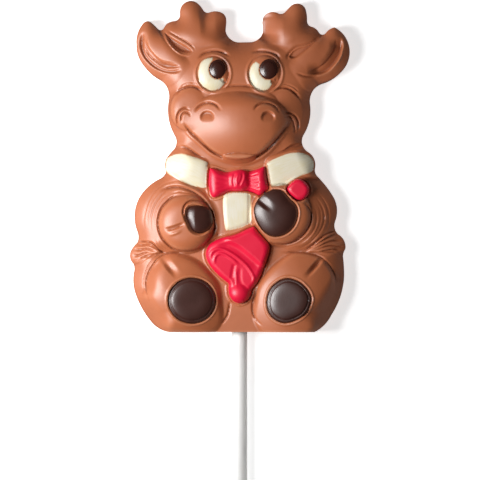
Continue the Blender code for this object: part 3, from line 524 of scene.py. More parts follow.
# Fur combed round the paws in long shallow strokes, each steep on one side and broad on the other.
thinnest = 0.28
for width, depth, stroke in (
    (0.9, 0.3, [(-26.4, 27.6), (-26.7, 31.0), (-26.3, 33.6), (-25.6, 36.0), (-24.6, 38.0), (-23.0, 40.0),
        (-20.4, 41.6), (-17.6, 42.2), (-14.6, 41.6)]),
    (0.6, 0.22, [(-25.4, 28.8), (-25.7, 31.6), (-25.2, 34.2), (-24.4, 36.4), (-23.2, 38.4), (-21.2, 40.0)]),
    (0.8, 0.3, [(-24.3, 26.8), (-24.8, 30.0), (-24.5, 33.0), (-23.7, 35.4), (-22.4, 37.6), (-20.4, 39.6),
        (-17.6, 40.6), (-14.8, 40.4)]),
    (0.6, 0.2, [(-23.6, 28.6), (-23.8, 31.2), (-23.4, 33.6), (-22.6, 35.6), (-21.4, 37.4), (-19.6, 38.8)]),
    (0.7, 0.25, [(-17.6, 41.6), (-15.0, 41.4), (-12.6, 40.6), (-10.4, 39.2), (-8.6, 37.2)]),
    (0.6, 0.25, [(-22.9, 26.0), (-21.8, 24.4), (-20.2, 23.2), (-18.6, 22.5)]),
    (0.6, 0.25, [(-24.4, 26.4), (-22.8, 24.4), (-21.2, 23.1), (-19.4, 22.3)]),
    (-0.9, 0.34, [(20.4, 38.6), (22.0, 37.0), (23.2, 35.0), (23.8, 33.0), (23.8, 31.0), (23.0, 28.8),
        (21.6, 26.8), (19.8, 25.0), (17.6, 23.7), (15.0, 23.0)]),
    (-0.6, 0.24, [(21.2, 36.6), (22.3, 34.9), (22.8, 33.0), (22.7, 30.8), (21.9, 28.6), (20.6, 26.6),
        (18.6, 24.8)]),
    (-0.8, 0.34, [(20.4, 35.6), (21.4, 34.0), (21.7, 32.0), (21.4, 29.8), (20.4, 27.8), (18.8, 26.0),
        (16.6, 24.6), (13.8, 23.8)]),
    (-0.9, 0.3, [(21.6, 39.4), (23.2, 37.6), (24.5, 35.4), (25.1, 33.0), (25.0, 30.6), (24.2, 28.4),
        (22.8, 26.4)]),
    (-0.6, 0.22, [(20.6, 29.4), (19.4, 27.2), (17.4, 25.5), (15.0, 24.3), (12.0, 23.6), (9.6, 23.7)]),
):
    score(height, spots, (max(width, thinnest), max(-width, thinnest), depth * 0.75, KEEN, 0.35, stroke))
score(
    height, spots,
    (0.6, 1.1, 0.5, SOFT, 0.35, [(-21.2, 28.7), (-18.4, 29.3), (-14.9, 30.7)]),
    (0.35, 0.35, 0.3, KEEN, 0.3, [(-20.6, 28.3), (-18.2, 28.9), (-15.2, 30.2)]),
    (0.7, 0.7, -0.25, SOFT, 0.4, [(-20.4, 27.0), (-18.0, 27.6), (-15.8, 28.6)]))

# Tail tufts, each of a few thick wavy locks.
for tuft in (
    [(-31.8, 21.6), (-29.8, 26.4), (-24.0, 25.0), (-21.4, 22.2), (-26.0, 19.6), (-30.6, 17.8)],
    [(31.4, 23.8), (26.0, 21.6), (18.5, 22.2), (22.0, 26.4), (28.2, 29.6)],
):
    swell(height, spots, through(tuft), edge=6.2, crown=9.4, width=2.2, blend=0.5, under=ceiling)
for above, below, lock in (
    (0.4, 1.0, [(-28.9, 24.9), (-27.2, 24.4), (-25.2, 24.4), (-23.4, 23.5), (-22.3, 22.6)]),
    (0.4, 1.1, [(-29.8, 23.4), (-27.8, 23.1), (-26.0, 23.4), (-24.2, 22.9), (-22.6, 22.3)]),
    (0.5, 1.0, [(-30.2, 21.7), (-28.4, 21.5), (-26.4, 22.2), (-24.2, 22.3)]),
    (0.5, 0.9, [(-30.0, 20.0), (-28.2, 20.4), (-25.8, 21.5), (-23.2, 22.0)]),
    (0.4, 1.1, [(18.9, 22.7), (21.2, 24.2), (24.0, 26.0), (26.6, 27.2), (28.6, 27.2)]),
    (0.4, 1.2, [(19.2, 22.6), (22.0, 23.8), (24.8, 25.2), (27.2, 25.6), (29.8, 25.4)]),
    (0.4, 0.9, [(20.0, 22.6), (22.8, 23.4), (25.4, 24.2), (27.8, 24.0), (30.2, 24.2)]),
    (0.3, 0.7, [(22.0, 22.6), (24.4, 22.9), (26.8, 23.2), (29.4, 22.8)]),
):
    score(height, spots, (above, below, 0.6, KEEN, 0.3, lock))
score(
    height, spots,
    (0.5, 0.5, 0.6, KEEN, 0.15, [(-28.4, 25.4), (-26.2, 25.3), (-24.4, 24.9), (-23.1, 23.7), (-21.9, 22.6),
        (-20.4, 22.1)]),
    (0.5, 0.6, 0.6, KEEN, 0.15, [(-30.2, 18.5), (-28.0, 19.3), (-26.0, 20.6), (-24.0, 21.6), (-21.8, 22.1)]),
    (0.6, 0.5, 0.6, KEEN, 0.15, [(18.6, 22.8), (20.4, 24.2), (22.4, 25.9), (24.3, 27.3), (27.2, 28.4)]),
    (0.5, 0.5, 0.5, KEEN, 0.15, [(18.8, 22.2), (22.0, 22.3), (25.0, 22.4), (29.4, 22.0)]))

# Hips, and feet that stand out of them. Each foot has one toe crease and a double line where it meets the
# leg.
for hip in (
    [(-31.5, 18.4), (-31.6, 9.0), (-25.6, -0.6), (-10.0, -1.6), (-9.0, 10.0), (-16.0, 21.6), (-24.0, 21.4)],
    [(31.0, 21.8), (31.4, 14.0), (26.4, 0.0), (20.0, -1.6), (10.0, -1.6), (9.0, 10.0), (15.6, 22.0),
        (24.0, 22.0)],
):
    swell(height, spots, through(hip), edge=6.6, crown=9.8, width=4.4, blend=0.8, under=ceiling)


def foot_dome(spots):
    """The rounded front of both feet, the left one highest towards its outer side."""
    middle, fall = np.where(spots.real < 0, -20.5, 16.0), np.where(spots.real < 0, 0.015, 0.026)
    return 12.5 - fall * (spots.real - middle)**2 - 0.019 * (spots.imag - 9.0)**2


flank = 3.4 * ease(inwards / np.where(spots.real < 0, 4.0, 5.5))
foot_ceiling = lower(foot_dome(spots), ceiling + foot * 3.4 + (1 - foot) * flank, 0.9)
swell(height, spots, through([(-16.0, 22.2), (-21.0, 21.6), (-25.4, 17.6), (-26.6, 12.6), (-27.6, 7.6),
    (-24.6, 0.4), (-20.0, -1.4), (-9.0, -1.4), (-4.6, 2.6), (-4.6, 8.6), (-5.6, 14.0), (-10.4, 19.6)]),
    edge=6.8, crown=13.3, width=6.0, blend=1.0, under=foot_ceiling, steep=1.0)
swell(height, spots, through([(15.4, 22.2), (21.6, 21.2), (25.8, 17.0), (26.8, 12.0), (27.4, 7.0),
    (24.6, 0.4), (20.4, -1.4), (9.0, -1.4), (4.6, 2.6), (4.4, 8.6), (5.6, 13.6), (9.6, 18.6)]), edge=8.0,
    crown=13.2, width=5.0, blend=1.0, under=foot_ceiling, steep=0.8)
score(
    height, spots,
    (0.5, 0.5, 0.5, KEEN, 0.2, [(-14.0, 22.5), (-17.0, 22.3), (-20.4, 21.9), (-22.7, 20.6), (-24.6, 18.2),
        (-25.9, 15.4), (-26.2, 12.6), (-25.6, 9.8), (-24.4, 7.4)]),
    (0.4, 0.4, 0.25, KEEN, 0.2, [(-22.6, 21.6), (-24.6, 19.8), (-26.2, 17.0), (-26.9, 14.0), (-26.8, 11.6)]),
    (0.5, 0.7, 0.5, KEEN, 0.25, [(-2.6, 9.0), (-2.9, 6.5), (-3.5, 4.3), (-5.2, 1.9)]),
    (0.5, 0.5, 0.5, KEEN, 0.25, [(5.4, 12.6), (4.0, 9.5), (3.6, 7.0), (4.0, 4.7), (5.2, 2.8), (6.6, 1.7)]),
    (0.5, 0.5, 0.45, KEEN, 0.2, [(11.0, 22.2), (15.0, 22.4), (18.6, 22.2), (21.4, 21.6), (23.6, 20.4),
        (25.4, 18.4), (26.6, 15.8), (27.0, 13.0)]),
    (1.9, 1.2, 0.8, SOFT, 0.45, [(-22.0, 21.6), (-20.8, 19.6), (-19.2, 17.6), (-17.0, 15.2)]),
    (0.8, 1.3, 1.0, SOFT, 0.45, [(23.8, 21.2), (21.6, 18.7), (20.0, 16.9), (18.2, 14.9)]))

# Collar bands.
swell(height, spots, through([(-22.0, 47.4), (-18.0, 50.6), (-13.0, 49.9), (-8.4, 48.0), (-8.5, 40.1),
    (-13.5, 40.8), (-21.6, 44.2)]), edge=6.2, crown=8.9, width=2.6, blend=0.5, under=ceiling)
swell(height, spots, through([(7.3, 47.8), (12.0, 50.2), (18.0, 50.8), (23.2, 47.2), (21.2, 44.0),
    (14.5, 41.9), (8.6, 40.4)]), edge=7.9, crown=8.9, width=2.6, blend=0.5, under=ceiling + 2.0)

# Paw pads sit in the paws, the left one under a hood.
score(
    height, spots,
    (0.5, 0.9, 0.8, KEEN, 0.15, [(-15.2, 31.4), (-15.7, 33.4), (-15.4, 35.2), (-14.3, 36.4), (-12.6, 36.9),
        (-10.8, 36.7), (-9.2, 35.8), (-8.3, 34.6)]))

# Ribs and channels round the pieces that stand proud: the channel's level and how steeply its side climbs.
sole_channel = foot_dome(spots) - 0.7
channels = {
    "bow_tie": (8.3, 3.0), "hat": (8.2, 3.0), "paw_pad_left": (11.2, 1.2), "paw_pad_right": (9.9, 5.0),
    "red_button": (9.4, 5.0), "sole_left": (sole_channel, 6.0), "sole_right": (sole_channel, 6.0),
}
swell(height, spots, through([(-7.4, 40.6), (0.0, 41.4), (5.0, 40.6), (5.4, 34.0), (4.6, 27.4), (-4.6, 26.6),
    (-7.4, 33.0)]), edge=7.9, crown=8.6, width=3.0, blend=0.9, steep=1)
swell(height, spots, colour_places["placket"], edge=8.2, crown=8.9, width=1.2, blend=0.1, steep=0.8)
for name, (level, slope) in channels.items():
    score_round(height, spots, colour_places[name], outwards=0.6, half_width=0.45, depth=-0.25)
    seat(height, spots, colour_places[name], level, slope)

# Hollows and ribs of the face, found against a blurred copy and kept on the sheet, so that the milk
# chocolate's colour can be darkened in the hollows as painted shade and lightened on the ribs as a painted
# highlight. The whites keep how far each corner lies from their edges.
window, full_hollow, far_away = 3, 0.35, 9.0
blurred = height.reshape(net.shape)
for axis in (0, 1, 0, 1):
    blurred = sum(np.roll(blurred, shift, axis) for shift in range(-window, window + 1)) / (2 * window + 1)
# Above zero in hollows, for painted shade; below zero on ribs, for a painted highlight.
hollow = np.clip((blurred.ravel() - height) / full_hollow, -1, 1)
edge_distance = np.full(len(spots), far_away)
for name in ("collar_left", "collar_right", "placket", "eye_white_left", "eye_white_right"):
    here = near(spots, colour_places[name], 0.05)
    to_edge = np.abs(beside(spots[here], colour_places[name], True)[0])
    edge_distance[here] = np.minimum(edge_distance[here], to_edge)


def set_heights(piece, spots, height):
    corners = np.stack([spots.real + middle_x, spots.imag + base_y, height], axis=1) * MM
    piece.data.vertices.foreach_set("co", corners.astype(np.float32).ravel())
    piece.data.update()


for name, values in (("hollow", hollow), ("edge_distance", edge_distance)):
    kept = face.data.attributes.new(name, 'FLOAT', 'POINT').data
    kept.foreach_set("value", values.astype(np.float32))
face.data.attributes.new("part", 'INT', 'FACE').data.foreach_set("value", kind.ravel().astype(np.int32))
set_heights(face, spots, height)


def choose(piece, faces=None, edges=None):
    """Opens a piece for editing with only those faces or edges selected."""
    bpy.ops.object.select_all(action='DESELECT')
    piece.select_set(True)
    bpy.context.view_layer.objects.active = piece
    shape = piece.data
    shape.vertices.foreach_set("select", np.zeros(len(shape.vertices), bool))
    shape.edges.foreach_set("select", np.zeros(len(shape.edges), bool) if edges is None else edges)
    shape.polygons.foreach_set("select", np.zeros(len(shape.polygons), bool) if faces is None else faces)
    bpy.context.tool_settings.mesh_select_mode = (False, edges is not None, faces is not None)
    bpy.ops.object.mode_set(mode='EDIT')


def places_of(piece):
    """A piece's corners as places on the figure, and their heights."""
    corners = np.zeros(len(piece.data.vertices) * 3, np.float32)
    piece.data.vertices.foreach_get("co", corners)
    x, y, z = corners.reshape(-1, 3).T.astype(float) / MM
    return x - middle_x + 1j * (y - base_y), z


def finer(piece):
    """Halves the squares of a piece that carries fine ribs."""
    choose(piece)
    bpy.ops.mesh.select_all(action='SELECT')
    bpy.ops.mesh.subdivide(number_cuts=1)
    bpy.ops.object.mode_set(mode='OBJECT')


def rim_of(piece, clear_of=None):
    """The edges of a piece with a face on one side only, apart from those that lie along a line."""
    shape = piece.data
    used = np.zeros(len(shape.loops), np.int32)
    shape.loops.foreach_get("edge_index", used)
    ends = np.zeros(len(shape.edges) * 2, np.int32)
    shape.edges.foreach_get("vertices", ends)
    single = np.nonzero(np.bincount(used, minlength=len(shape.edges)) == 1)[0]
    if clear_of is not None:
        middle = places_of(piece)[0][ends.reshape(-1, 2)[single]].mean(axis=1)
        single = single[np.abs(beside(middle, clear_of, True)[0]) > 0.03]
    chosen = np.zeros(len(shape.edges), bool)
    chosen[single] = True
    return chosen


def close_down(piece, rim, level):
    """Draws a rim straight down to a level and closes it there with a flat face."""
    choose(piece, edges=rim)
    bpy.ops.mesh.extrude_edges_move()
    bpy.ops.transform.resize(value=(1, 1, 0), center_override=(0, 0, level * MM))
    bpy.ops.mesh.edge_face_add()
    bpy.ops.mesh.quads_convert_to_tris(quad_method='BEAUTY', ngon_method='BEAUTY')
    bpy.ops.object.mode_set(mode='OBJECT')


choose(face, faces=kind.ravel() == 0)
bpy.ops.mesh.delete(type='FACE')
bpy.ops.object.mode_set(mode='OBJECT')

# Whites of the eyes. White chocolate, piped thinly into the bottom of each socket, so that it sets glossy
# against the mould with a clean curved edge.
colour_thickness = 1.0


def part_off(place, piece_name):
    """Parts a coloured place off the face and closes the pocket that it leaves, whose floor it gives too."""
    kinds = np.zeros(len(face.data.polygons), np.int32)
    face.data.attributes["part"].data.foreach_get("value", kinds)
    choose(face, faces=kinds == list(colour_places).index(place) + 2)
    bpy.ops.mesh.separate(type='SELECTED')
    bpy.ops.object.mode_set(mode='OBJECT')
    piece = next(other for other in bpy.context.selected_objects if other != face)
    piece.name = piece_name
    pocket_floor = places_of(piece)[1].min() - colour_thickness
    close_down(face, rim_of(face, clear_of=edge_of_figure), pocket_floor)
    return piece, pocket_floor


def finish_piece(piece, material, node):
    """Turns a piece's faces outwards, smooths it, gives it its material and sets it in its CAD place."""
    sharpest = 62
    choose(piece)
    bpy.ops.mesh.select_all(action='SELECT')
    bpy.ops.mesh.quads_convert_to_tris(quad_method='BEAUTY', ngon_method='BEAUTY')
    bpy.ops.mesh.normals_make_consistent(inside=False)
    bpy.ops.object.mode_set(mode='OBJECT')
    bpy.ops.object.shade_smooth_by_angle(angle=math.radians(sharpest))
    piece.data.materials.clear()
    piece.data.materials.append(material)
    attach(piece, "root")
    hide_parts(node)


def close_piece(piece, spots, height, pocket_floor, material, node):
    """Gives a parted piece its relief, closes it at the bottom of its pocket and finishes it."""
    set_heights(piece, spots, height)
    close_down(piece, rim_of(piece), pocket_floor)
    finish_piece(piece, material, node)


def linear(colour):
    """An sRGB hex colour as the linear values that a shader takes."""
    parts = [int(colour[i:i + 2], 16) / 255 for i in (1, 3, 5)]
    return tuple(p / 12.92 if p <= 0.04045 else ((p + 0.055) / 1.055)**2.4 for p in parts) + (1.0,)


def add_node(tree, node_type, settings, links):
    """Adds a node with its settings and the links into it. Sockets go by their identifiers."""
    node = tree.nodes.new(node_type)
    sockets = {socket.identifier: socket for socket in node.inputs}
    for name, value in settings.items():
        if name in sockets:
            sockets[name].default_value = value
        else:
            setattr(node, name, value)
    for name, source in links.items():
        tree.links.new(source, sockets[name])
    return node


white_chocolate = bpy.data.materials.new("brushed_white_chocolate")
white_chocolate.use_nodes = True
tree = white_chocolate.node_tree
shader = tree.nodes["Principled BSDF"]
# Cocoa butter and milk without cocoa solids: ivory, creamier where it is thin. The brush leaves streaks
# 0.33 mm apart in clouds of 5 mm, and a ragged edge, where the milk chocolate behind shows through. Real
# bristle marks are a little finer, and these are drawn as coarse as they need to show.
streaks_at = add_node(tree, 'ShaderNodeAttribute', {"attribute_name": "brush"}, {})
bristles = add_node(tree, 'ShaderNodeTexNoise', {"Scale": 3.0, "Detail": 3.0, "Roughness": 0.6},
                    {"Vector": streaks_at.outputs["Vector"]})
coordinates = add_node(tree, 'ShaderNodeTexCoord', {}, {})
cloud = add_node(tree, 'ShaderNodeTexNoise', {"Scale": 190.0, "Detail": 2.0},
                 {"Vector": coordinates.outputs[3]})
half_cloud = add_node(tree, 'ShaderNodeMath', {"operation": 'MULTIPLY', "Value_001": 0.5},
                      {"Value": cloud.outputs[0]})
both = add_node(tree, 'ShaderNodeMath', {"operation": 'MULTIPLY_ADD', "Value_001": 0.5},
                {"Value": bristles.outputs[0], "Value_002": half_cloud.outputs[0]})
thin = add_node(tree, 'ShaderNodeMapRange', {"From Min": 0.28, "From Max": 0.6}, {"Value": both.outputs[0]})
ivory = add_node(tree, 'ShaderNodeMix', {
    "data_type": 'RGBA', "A_Color": linear("#D0C49B"), "B_Color": linear("#D8D2C1")},
    {"Factor_Float": thin.outputs[0]})
edge = add_node(tree, 'ShaderNodeAttribute', {"attribute_name": "edge_distance"}, {})
ragged = add_node(tree, 'ShaderNodeMath', {"operation": 'MULTIPLY_ADD', "Value_001": 1.1, "Value_002": -0.7},
                  {"Value": bristles.outputs[0]})
covered = add_node(tree, 'ShaderNodeMath', {"operation": 'ADD'}, {
    "Value": edge.outputs["Fac"], "Value_001": ragged.outputs[0]})
cover = add_node(tree, 'ShaderNodeMapRange', {"From Min": -0.2, "From Max": 0.15},
                 {"Value": covered.outputs[0]})
colour = add_node(tree, 'ShaderNodeMix', {"data_type": 'RGBA', "A_Color": linear("#C08A5C")},
                  {"Factor_Float": cover.outputs[0], "B_Color": ivory.outputs[2]})
grain = add_node(tree, 'ShaderNodeBump', {"Strength": 0.2, "Distance": 0.00006},
                 {"Height": bristles.outputs[0]})
shader.inputs["Roughness"].default_value = 0.42
shader.inputs["IOR"].default_value = 1.46
tree.links.new(colour.outputs[2], shader.inputs["Base Color"])
tree.links.new(grain.outputs[0], shader.inputs["Normal"])


def brush_in(place, piece_name, proud, shoulder, degrees, sweep=0.0, grooves=()):
    """Parts off a place of white chocolate, stands it a little proud inside a round shoulder and finishes
    it. It keeps how far each corner lies across and along the brush strokes, which may fan out."""
    white, pocket_floor = part_off(place, piece_name)
    spots, height = places_of(white)
    loop = colour_places[place]
    height += proud * ease(np.abs(beside(spots, loop, True)[0]) / shoulder)
    score(height, spots, *grooves)
    close_piece(white, spots, height, pocket_floor, white_chocolate, place)
    turned = (places_of(white)[0] - loop.mean()) * np.exp(-1j * math.radians(degrees))
    across = turned.imag / (1 + sweep * turned.real)
    brush = np.stack([across, turned.real * 0.09, np.zeros(len(turned))], axis=1).astype(np.float32)
    white.data.attributes.new("brush", 'FLOAT_VECTOR', 'POINT').data.foreach_set("vector", brush.ravel())


for side in ("left", "right"):
    brush_in("eye_white_" + side, "eye_white_chocolate_" + side, proud=0.07, shoulder=0.3, degrees=70)

# Pupils. Two domed drops of dark chocolate in the round dimples of the mould, each with a fine crescent
# pressed in its low side. They set against the polished bottom of the dimples, so they are glossier than
# the pads and the soles: almost black brown in clouds of 3 mm. Cocoa solids are finer than the render
# shows, so their grain is drawn at 0.4 mm.


def moulded_chocolate(name, colours, clouds, sheen, solids, grain, ior, coat):
    """Chocolate set against smooth plastic: two colours in soft clouds, a satin sheen under a thin coat of
    cocoa butter, and a fine grain of solids. Clouds and solids are so many to a metre, and clouds also give
    their detail and roughness. A coat is its weight and roughness, a grain its strength and its depth in
    metres."""
    material = bpy.data.materials.new(name)
    material.use_nodes = True
    tree = material.node_tree
    shader = tree.nodes["Principled BSDF"]
    coordinates = add_node(tree, 'ShaderNodeTexCoord', {}, {})
    cloud = add_node(tree, 'ShaderNodeTexNoise', dict(zip(("Scale", "Detail", "Roughness"), clouds)),
                     {"Vector": coordinates.outputs[3]})
    brown = add_node(tree, 'ShaderNodeMix', {
        "data_type": 'RGBA', "A_Color": linear(colours[0]), "B_Color": linear(colours[1])},
        {"Factor_Float": cloud.outputs[0]})
    satin = add_node(tree, 'ShaderNodeMapRange', {"To Min": sheen[0], "To Max": sheen[1]},
                     {"Value": cloud.outputs[0]})
    fine = add_node(tree, 'ShaderNodeTexNoise', {"Scale": solids, "Detail": 2.0},
                    {"Vector": coordinates.outputs[3]})
    bump = add_node(tree, 'ShaderNodeBump', {"Strength": grain[0], "Distance": grain[1]},
                    {"Height": fine.outputs[0]})
    shader.inputs["IOR"].default_value = ior
    shader.inputs["Coat Weight"].default_value, shader.inputs["Coat Roughness"].default_value = coat
    tree.links.new(brown.outputs[2], shader.inputs["Base Color"])
    tree.links.new(satin.outputs[0], shader.inputs["Roughness"])
    tree.links.new(bump.outputs[0], shader.inputs["Normal"])
    return material, coordinates, brown, bump


glossy_chocolate = moulded_chocolate(
    "glossy_dark_chocolate", colours=("#2C120B", "#3A1911"), clouds=(300.0, 3.0), sheen=(0.24, 0.3),
    solids=2600.0, grain=(0.4, 0.00006), ior=1.6, coat=(0.25, 0.2))[0]
for side in ("left", "right"):
    place = "pupil_" + side
    drop, pocket_floor = part_off(place, "pupil_dark_chocolate_" + side)
    finer(drop)
    spots, height = places_of(drop)
    loop = colour_places[place]
    low_side = ease(0.5 - ((spots - loop.mean()) * np.exp(1j * math.radians(60))).real / 4.0)
    level = height.mean()
    height = crown_over(spots, loop, edge=level - 0.1, crown=level + 0.75, width=2.3, steep=0.8)
    here = near(spots, loop, 0.05)
    into = np.abs(beside(spots[here], loop, True)[0])
    height[here] -= 0.13 * ease(1 - np.abs(into - 0.55) / 0.4) * low_side[here]
    close_piece(drop, spots, height, pocket_floor, glossy_chocolate, place)

# Collar. Two bands of white chocolate, brushed a little past the ribs of the mould, so their edges are
# ragged. Each is brushed along its length.
for side, degrees, sweep in (("left", -24, 0.05), ("right", 22, -0.03)):
    brush_in("collar_" + side, "collar_white_chocolate_" + side, proud=0.1, shoulder=0.5, degrees=degrees,
             sweep=sweep)

# Shirt front below the bow tie, of the same white chocolate, brushed upwards, with the groove of a placket
# down its right side.
brush_in("placket", "placket_white_chocolate", proud=0.1, shoulder=0.5, degrees=91, grooves=[
    (0.6, 0.6, 0.16, SOFT, 0.1, [(2.7, 39.4), (2.6, 36.0), (2.6, 33.0), (2.5, 30.0)])])

# Bow tie of red coloured chocolate, filled to a cushion with two soft pinches and a knot between them.
# White chocolate dyed with oil colour: a strong warm red with a satin gloss, a touch lighter in clouds of
# 4.5 mm where it is thin. Its grain is drawn at 0.45 mm, as coarse as it needs to show.
red_chocolate = moulded_chocolate(
    "moulded_red_chocolate", colours=("#D20D33", "#DD133C"), clouds=(220.0, 3.0), sheen=(0.36, 0.48),
    solids=2200.0, grain=(0.15, 0.00005), ior=1.45, coat=(0.25, 0.34))[0]
bow, pocket_floor = part_off("bow_tie", "bow_tie_red_chocolate")
finer(bow)
spots, height = places_of(bow)
height = crown_over(spots, colour_places["bow_tie"], edge=8.5, crown=10.2, width=1.7, steep=0.7)
for x, left, right, deep in ((-3.2, 3.6, 3.0, 0.45), (2.6, 2.4, 3.4, 1.05)):
    score(height, spots, (right, left, deep, SOFT, 0.02, [(x * 1.1, 46.6), (x, 42.4), (x * 1.1, 37.2)]))
swell(height, spots, through([(-3.2, 42.3), (-2.9, 44.2), (-0.5, 45.3), (1.8, 44.9), (2.5, 42.6),
    (2.2, 40.6), (-0.4, 39.8), (-2.8, 40.6)]), edge=9.2, crown=10.3, width=1.7, blend=0.4, steep=1.0)
score(
    height, spots,
    (0.7, 0.7, 0.2, SOFT, 0.25, [(-1.0, 44.8), (-1.75, 42.6), (-1.3, 40.2)]),
    (0.6, 0.6, -0.1, SOFT, 0.25, [(-0.2, 44.9), (-0.8, 42.6), (-0.6, 40.1)]),
    (0.6, 0.6, 0.16, SOFT, 0.25, [(0.7, 45.0), (0.75, 43.4), (0.35, 42.0), (-0.3, 40.8)]),
    (0.5, 0.5, -0.08, SOFT, 0.25, [(1.3, 45.0), (1.5, 43.5), (1.1, 42.2), (0.2, 40.6)]))
for depth, start, end in (
    (0.18, (2.6, 43.5), (5.4, 44.4)),
    (0.15, (2.6, 42.9), (5.4, 43.0)),
    (0.18, (2.6, 42.3), (5.8, 41.9)),
    (0.15, (2.6, 41.7), (5.4, 41.0)),
    (0.18, (2.6, 41.1), (5.8, 40.0)),
    (0.15, (2.4, 40.4), (5.4, 39.1)),
):
    score(height, spots, (0.42, 0.42, depth, SOFT, 0.2, [start, end]))
for left, right in ((43.9, 44.9), (42.8, 43.2), (41.7, 41.6), (40.6, 40.0)):
    pleat = [(-3.2, left), (-4.8, (left + right) / 2), (-7.0, right)]
    score(height, spots, (0.6, 0.6, 0.1, SOFT, 0.4, pleat))
close_piece(bow, spots, height, pocket_floor, red_chocolate, "bow_tie")

# Stocking cap held between the paws, of the same red chocolate: a cap that hangs down to a bobble, with soft
# folds and its rolled cuff standing proud.
hat, pocket_floor = part_off("hat", "hat_red_chocolate")
finer(hat)
spots, height = places_of(hat)
height = crown_over(spots, colour_places["hat"], edge=8.4, crown=9.8, width=1.5, steep=0.7)
cuff_rise = 0.5
cuff_edge = through([(-7.6, 25.9), (-5.0, 25.9), (-2.9, 25.3), (-1.0, 24.5), (0.2, 23.8), (1.5, 22.8),
    (2.8, 21.7), (4.1, 20.6), (6.0, 18.9), (8.4, 17.2)], closed=False)
above = beside(spots, cuff_edge, False)[0]
height += cuff_rise * ease(above / 1.2 + 0.5) * ease((spots.real + 6.0) / 4.0)
score(
    height, spots,
    (0.9, 2.0, 0.3, SOFT, 0.2, [(-6.4, 24.6), (-3.4, 24.3), (-1.6, 23.6), (0.0, 22.6), (1.5, 21.4),
        (3.0, 20.1), (4.6, 18.7), (6.6, 17.0)]))
for half_width, depth, line in (
    (0.75, -0.25, [(-8.2, 19.6), (-8.2, 21.4), (-7.6, 22.5), (-6.6, 23.1), (-5.5, 23.3), (-4.3, 23.05),
        (-3.1, 22.5), (-1.8, 21.7), (-0.5, 20.8), (0.8, 19.7), (2.0, 18.5), (3.1, 17.0), (3.9, 15.5),
        (4.0, 14.5), (3.4, 13.3), (2.7, 12.5)]),
    (0.7, -0.22, [(-7.1, 18.6), (-6.95, 20.6), (-6.35, 21.6), (-5.5, 22.0), (-4.5, 21.85), (-3.4, 21.3),
        (-2.4, 20.6), (-1.2, 19.7), (0.0, 18.5)]),
    (0.9, 0.16, [(-1.4, 19.2), (-1.9, 16.8), (-2.2, 14.6)]),
    (0.9, 0.12, [(0.2, 18.6), (0.1, 15.9), (0.3, 14.2), (1.0, 12.9), (2.4, 11.8)]),
    (0.6, -0.1, [(-0.95, 17.4), (-0.9, 15.6), (-0.8, 13.2), (-0.8, 11.6)]),
):
    score(height, spots, (half_width, half_width, depth, SOFT, 0.2, line))
swell(height, spots, oval(-0.05, 10.8, 3.05, 2.95), edge=8.2, crown=11.0, width=2.4, blend=0.9, steep=0.75)
close_piece(hat, spots, height, pocket_floor, red_chocolate, "hat")

# Button of the same red chocolate at the right paw: a six-sided drop with a rounded top that stands a little
# proud.
button, pocket_floor = part_off("red_button", "red_button_chocolate")
spots, height = places_of(button)
height = crown_over(spots, colour_places["red_button"], edge=10.4, crown=11.6, width=1.0, steep=0.6)
close_piece(button, spots, height, pocket_floor, red_chocolate, "red_button")

# Paw pads of dark chocolate, cushioned in the middle of the paws. The right one is larger, with a notch
# where the palm folds. Dark chocolate set against smooth plastic is almost black brown and satin, in clouds
# of 3 mm, and its grain of cocoa solids is drawn at 0.4 mm, as coarse as it needs to show.
dark_chocolate = moulded_chocolate(
    "moulded_dark_chocolate", colours=("#34170F", "#432018"), clouds=(300.0, 3.0), sheen=(0.38, 0.46),
    solids=2600.0, grain=(0.4, 0.00006), ior=1.6, coat=(0.5, 0.28))[0]
for side, edge, crown, width, steep in (("left", 11.1, 12.3, 2.2, 0.8), ("right", 10.8, 12.3, 3.9, 1.0)):
    place = "paw_pad_" + side
    pad, pocket_floor = part_off(place, place + "_dark_chocolate")
    spots, height = places_of(pad)
    height = crown_over(spots, colour_places[place], edge, crown, width, steep)
    if side == "left":
        height -= 0.3 * np.maximum(spots.real + 12.5, 0)
    else:
        palm_fold = [(3.0, 38.6), (5.4, 37.0), (7.4, 35.4), (9.8, 33.6)]
        score(height, spots, (2.1, 1.2, 0.65, SOFT, 0.5, palm_fold))
    close_piece(pad, spots, height, pocket_floor, dark_chocolate, place)

# Soles of the feet, of the same dark chocolate, cushioned inside a thin lip. Each rises a little outwards.
for side, lean in (("left", -0.13), ("right", 0.1)):
    place = "sole_" + side
    sole, pocket_floor = part_off(place, place + "_dark_chocolate")
    spots, height = places_of(sole)
    middle = colour_places[place].mean()
    height = foot_dome(middle) + lean * (spots.real - middle.real)
    height += crown_over(spots, colour_places[place], edge=-1.0, crown=0.1, width=2.8, steep=0.7)
    score_round(height, spots, colour_places[place], outwards=-0.75, half_width=0.4, depth=0.26)
    close_piece(sole, spots, height, pocket_floor, dark_chocolate, place)

# Body of milk chocolate, poured over the colours to the brim of the mould and scraped flat, so its back is
# plain with a fine bevel round it. A stick is laid into it while it is soft, which leaves a socket.
bevel, drawn_in, figure_middle = 0.5, 0.988, 48
choose(face, edges=rim_of(face))
bpy.ops.mesh.mark_sharp()
bpy.ops.mesh.extrude_edges_move()
bpy.ops.transform.resize(value=(1, 1, 0), center_override=(0, 0, bevel * MM))
bpy.ops.mesh.extrude_edges_move()
bpy.ops.transform.resize(value=(drawn_in, drawn_in, 0), center_override=(0, figure_middle * MM, 0))
bpy.ops.mesh.mark_sharp()
bpy.ops.mesh.edge_face_add()
bpy.ops.mesh.quads_convert_to_tris(quad_method='BEAUTY', ngon_method='BEAUTY')
bpy.ops.mesh.select_all(action='SELECT')
bpy.ops.mesh.normals_make_consistent(inside=False)
bpy.ops.object.mode_set(mode='OBJECT')
# The bevel and the flat back get no painted shade or highlight.
hollow_and_rib_shading = face.data.attributes["hollow"].data
hollow = np.zeros(len(face.data.vertices), np.float32)
hollow_and_rib_shading.foreach_get("value", hollow)
